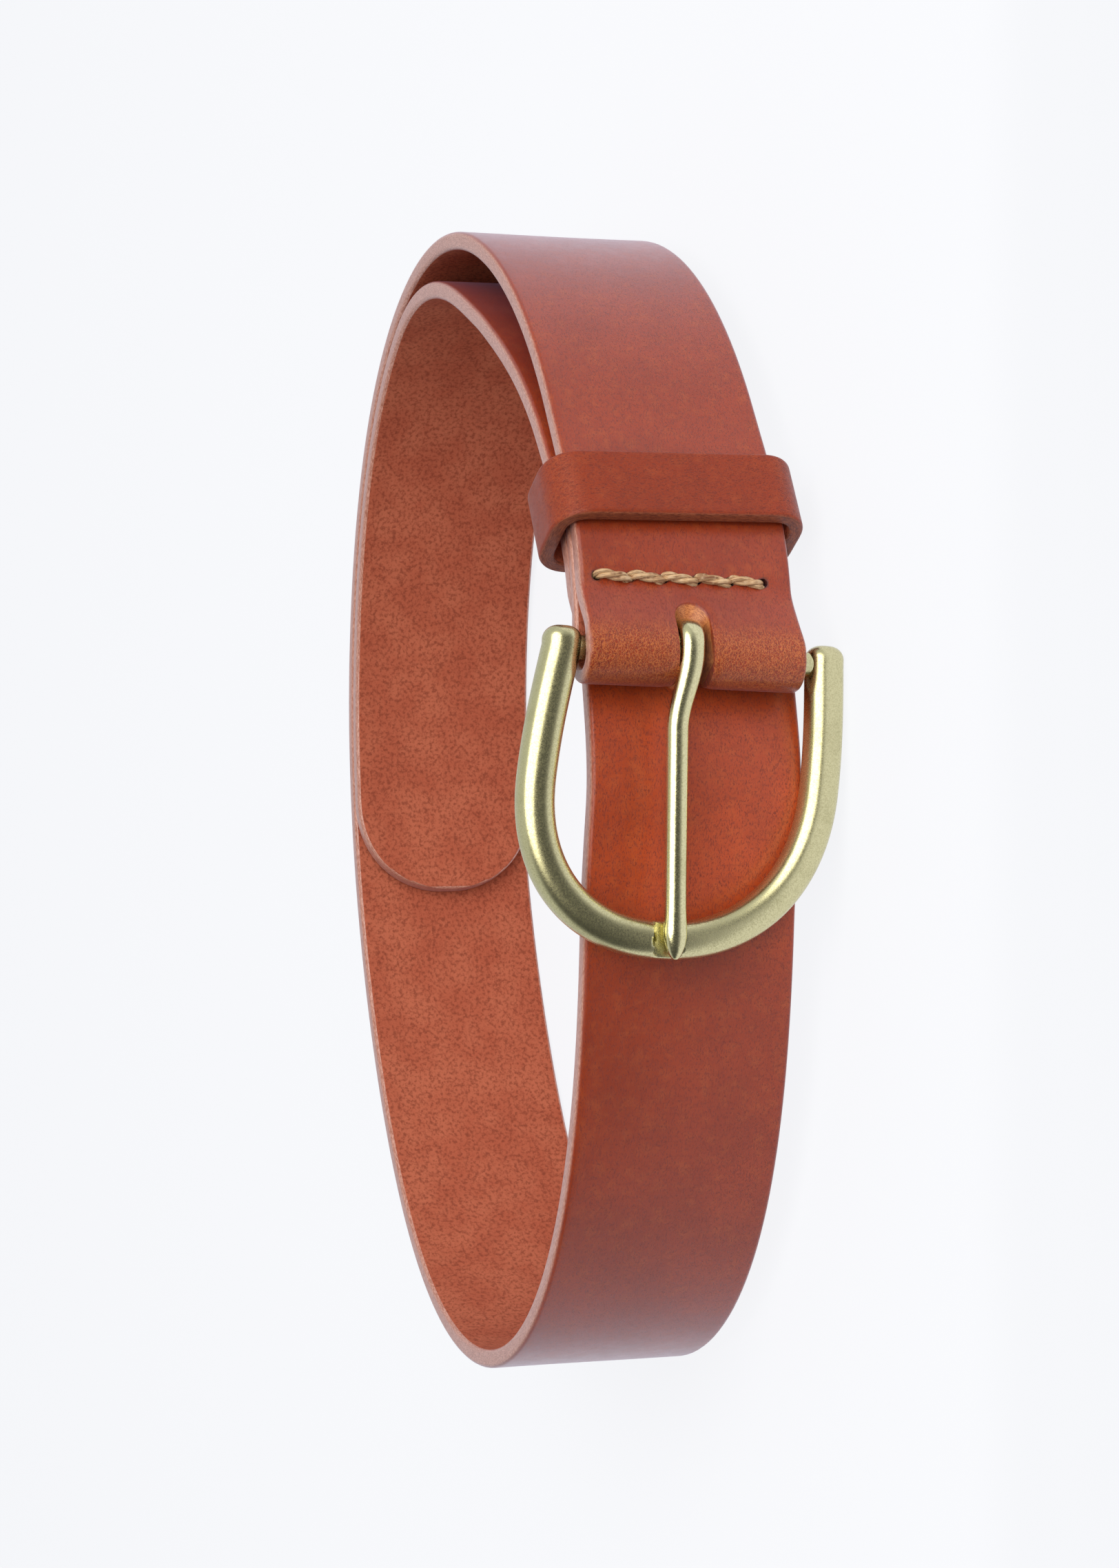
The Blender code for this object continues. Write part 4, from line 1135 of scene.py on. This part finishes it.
def flesh_paint(name, base, dark, pale):
    """Bare flesh side: short matted fibres with darker flecks."""
    paint = Paint(name)
    flat = paint.field("flat")
    patch = paint.noise(flat, 0.1, 4.0, 0.6)
    fleck = paint.noise(flat, 1.2, 5.0, 0.7)
    fibre = paint.noise(paint.scaled(flat, (1.0, 1.6, 1.0)), 3.0, 5.0, 0.75)
    colour = paint.mix(paint.calc("MULTIPLY", paint.span(patch, 0.35, 0.65), 0.5), base, pale)
    colour = paint.mix(paint.calc("MULTIPLY", paint.span(fleck, 0.44, 0.64), 0.65), colour, dark)
    colour = paint.mix(paint.calc("MULTIPLY", paint.span(fibre, 0.5, 0.75), 0.25), colour, pale)
    height = paint.calc("ADD", fibre, fleck)
    paint.shade(base_color=colour, roughness=0.85, normal=paint.bump(height, 0.12))
    paint.shader.inputs["Specular IOR Level"].default_value = 0.2
    return paint.material


def brass_paint(name, base, dark, roughness):
    """Satin brass with the fine speckle of a tumbled casting."""
    paint = Paint(name)
    place = paint.object_place()
    speckle = paint.noise(place, 3600.0, 2.0, 0.6)
    dents = paint.noise(place, 900.0, 2.0, 0.5)
    blotch = paint.noise(place, 160.0, 4.0, 0.6)
    colour = paint.mix(paint.calc("MULTIPLY", paint.span(speckle, 0.35, 0.75), 0.3), base, dark)
    colour = paint.mix(paint.calc("MULTIPLY", paint.span(blotch, 0.5, 0.8), 0.2), colour, dark)
    rough = paint.span(speckle, 0.3, 0.8, roughness - 0.05, roughness + 0.1)
    height = paint.calc("ADD", speckle, paint.calc("MULTIPLY", dents, 1.5))
    paint.shade(base_color=colour, metallic=1.0, roughness=rough, normal=paint.bump(height, 0.006))
    return paint.material


def thread_paint(name, base, dark, pale):
    """Waxed thread: fibres that run along each ply, with dirt between them."""
    paint = Paint(name)
    lay = paint.field("lay")
    fibre = paint.noise(paint.scaled(lay, (0.5, 14.0, 3.7)), 1.0, 3.0, 0.6)
    patch = paint.noise(lay, 0.9, 3.0)
    colour = paint.mix(paint.span(fibre, 0.38, 0.56), dark, base)
    colour = paint.mix(paint.calc("MULTIPLY", paint.span(patch, 0.45, 0.7), 0.5), colour, pale)
    paint.shade(base_color=colour, roughness=0.55, normal=paint.bump(fibre, 0.12))
    return paint.material


def add_pieces():
    # The fourth colour of each leather is painted light: a lighter tone for the strap inside the buckle
    grain = grain_paint("strap_grain", srgb(155, 58, 24), srgb(122, 40, 17), srgb(212, 124, 62),
                        srgb(188, 74, 28), srgb(212, 160, 142), srgb(164, 98, 74), STRAP_THICK, 1.0)
    flesh = flesh_paint("strap_flesh", srgb(178, 92, 66), srgb(116, 52, 36), srgb(200, 116, 86))
    loop_grain = grain_paint("keeper_grain", srgb(144, 52, 22), srgb(114, 38, 16), srgb(200, 108, 58),
                             srgb(160, 60, 24), srgb(164, 92, 60), srgb(104, 50, 34), KEEPER_THICK, 0.1)
    cast = brass_paint("frame_brass", srgb(222, 216, 166), srgb(124, 118, 66), 0.28)
    bent = brass_paint("prong_brass", srgb(230, 224, 174), srgb(150, 144, 88), 0.22)
    thread = thread_paint("waxed_thread", srgb(212, 174, 128), srgb(132, 88, 56), srgb(236, 210, 170))
    loop_thread = thread_paint("keeper_waxed_thread", srgb(190, 152, 108), srgb(108, 72, 46),
                               srgb(220, 192, 150))
    strap = strap_mesh()
    add_piece("strap_leather", strap, [grain, flesh], "strap", "strap")
    paint_flesh(strap, -FLESH_SHARE * STRAP_THICK)
    add_piece("turnback_stitches", thread_mesh("turnback_stitches", turnback_lines(), ROLL), [thread],
              "strap", "turnback_thread")
    add_piece("frame_casting", frame_mesh(), [cast], "buckle", "buckle_frame")
    add_piece("prong_bar", prong_mesh(), [bent], "prong", "prong")
    loop = keeper_mesh()
    add_piece("keeper_loop", loop, [loop_grain, flesh], "keeper", "keeper")
    paint_flesh(loop, -FLESH_SHARE * KEEPER_THICK)
    add_piece("keeper_stitches", thread_mesh("keeper_stitches", keeper_lines(), KEEPER), [loop_thread],
              "keeper", "keeper_thread")


def add_floor():
    """Pale floor that keeps the shadows and ends a little in front of the picture. Its colour is painted
    darker towards the front as painted shade, and near the belt it shows a bluish white glow in reflections
    as a painted reflection.
    """
    mesh = bpy.data.meshes.new("floor")
    mesh.from_pydata([(-FLOOR_REACH, FLOOR_FRONT, 0), (FLOOR_REACH, FLOOR_FRONT, 0),
                      (FLOOR_REACH, FLOOR_REACH, 0), (-FLOOR_REACH, FLOOR_REACH, 0)], [], [(0, 1, 2, 3)])
    floor = bpy.data.objects.new("floor", mesh)
    bpy.context.scene.collection.objects.link(floor)
    paint = Paint("floor_cloth")
    tree = paint.tree
    rays = paint.add("ShaderNodeLightPath", {})
    shown = paint.mix(rays.outputs["Is Glossy Ray"], srgb(251, 252, 255), srgb(242, 243, 255))
    glow = paint.add("ShaderNodeEmission", {"Color": shown, "Strength": 1.0})
    near = paint.span(paint.parts(paint.object_place())[1], FLOOR_DIM_FULL, FLOOR_DIM_START)
    # Painted shade: the floor's colour darkens towards the front
    painted_shade_colour = paint.mix(near, srgb(120, 120, 124), srgb(240, 241, 244))
    matt = paint.add("ShaderNodeBsdfDiffuse", {"Color": painted_shade_colour})
    # Painted reflection: glossy rays see the floor as a bluish white glow only near the belt
    painted_reflection = paint.calc("MULTIPLY", rays.outputs["Is Glossy Ray"], near)
    seen = paint.calc("MAXIMUM", rays.outputs["Is Camera Ray"], painted_reflection)
    share = paint.span(near, 0.0, 1.0, FLOOR_FRONT_GLOW, FLOOR_GLOW)
    blend = paint.add("ShaderNodeMixShader", {0: paint.calc("MULTIPLY", seen, share)})
    tree.links.new(matt.outputs[0], blend.inputs[1])
    tree.links.new(glow.outputs[0], blend.inputs[2])
    tree.links.new(blend.outputs[0], tree.nodes["Material Output"].inputs["Surface"])
    tree.nodes.remove(paint.shader)
    mesh.materials.append(paint.material)


def add_room():
    """Bright room that is dim in front, where the picture was taken from, and white to the camera."""
    world = bpy.data.worlds.new("room")
    bpy.context.scene.world = world
    world.use_nodes = True
    nodes = world.node_tree.nodes
    links = world.node_tree.links
    way = nodes.new("ShaderNodeTexCoord")
    facing = nodes.new("ShaderNodeVectorMath")
    facing.operation = "DOT_PRODUCT"
    facing.inputs[1].default_value = Vector(ROOM_FRONT).normalized()
    links.new(way.outputs["Generated"], facing.inputs[0])
    level = nodes.new("ShaderNodeMapRange")
    level.interpolation_type = "SMOOTHSTEP"
    level.inputs["From Min"].default_value = ROOM_DIM_START
    level.inputs["From Max"].default_value = ROOM_DIM_FULL
    level.inputs["To Min"].default_value = ROOM_BRIGHT
    level.inputs["To Max"].default_value = ROOM_DIM
    links.new(facing.outputs["Value"], level.inputs["Value"])
    rays = nodes.new("ShaderNodeLightPath")
    seen = nodes.new("ShaderNodeMix")
    links.new(rays.outputs["Is Camera Ray"], seen.inputs["Factor"])
    links.new(level.outputs[0], seen.inputs["A"])
    seen.inputs["B"].default_value = 1.0
    back = nodes["Background"]
    back.inputs["Color"].default_value = srgb(246, 249, 255)
    links.new(seen.outputs[0], back.inputs["Strength"])


def add_lamp(name, size, power, at, colour):
    lamp = bpy.data.lights.new(name, "AREA")
    lamp.shape = "DISK"
    lamp.size = size
    lamp.energy = power
    lamp.color = colour[:3]
    item = bpy.data.objects.new(name, lamp)
    bpy.context.scene.collection.objects.link(item)
    item.location = at
    item.rotation_euler = (-item.location).to_track_quat("-Z", "Y").to_euler()


def add_camera():
    """Camera of the photograph, which was taken lying on its side."""
    ahead = Vector((0, math.cos(CAMERA_PITCH), -math.sin(CAMERA_PITCH)))
    above = Vector((0, math.sin(CAMERA_PITCH), math.cos(CAMERA_PITCH)))
    right = Vector((1, 0, 0))
    side = -(right * math.sin(CAMERA_ROLL) + above * math.cos(CAMERA_ROLL))
    head = right * math.cos(CAMERA_ROLL) - above * math.sin(CAMERA_ROLL)
    eye = (Vector((0, 0, CAMERA_AIM)) - ahead * CAMERA_DISTANCE) * MM
    axes = Matrix((side, head, -ahead)).transposed().to_4x4()
    data = bpy.data.cameras.new("camera")
    data.sensor_width = SENSOR_MM
    data.lens = SENSOR_MM * CAMERA_FOCUS_PX / PHOTO_LONG_SIDE
    data.clip_start = 0.01
    camera = bpy.data.objects.new("camera", data)
    camera.matrix_world = ROLL @ Matrix.Translation(eye) @ axes
    bpy.context.scene.collection.objects.link(camera)
    bpy.context.scene.camera = camera


add_pieces()
add_floor()
add_room()
add_lamp("window", WINDOW_SIZE, WINDOW_POWER, WINDOW_AT, srgb(255, 251, 246))
add_camera()
bpy.context.scene.view_settings.view_transform = "Standard"
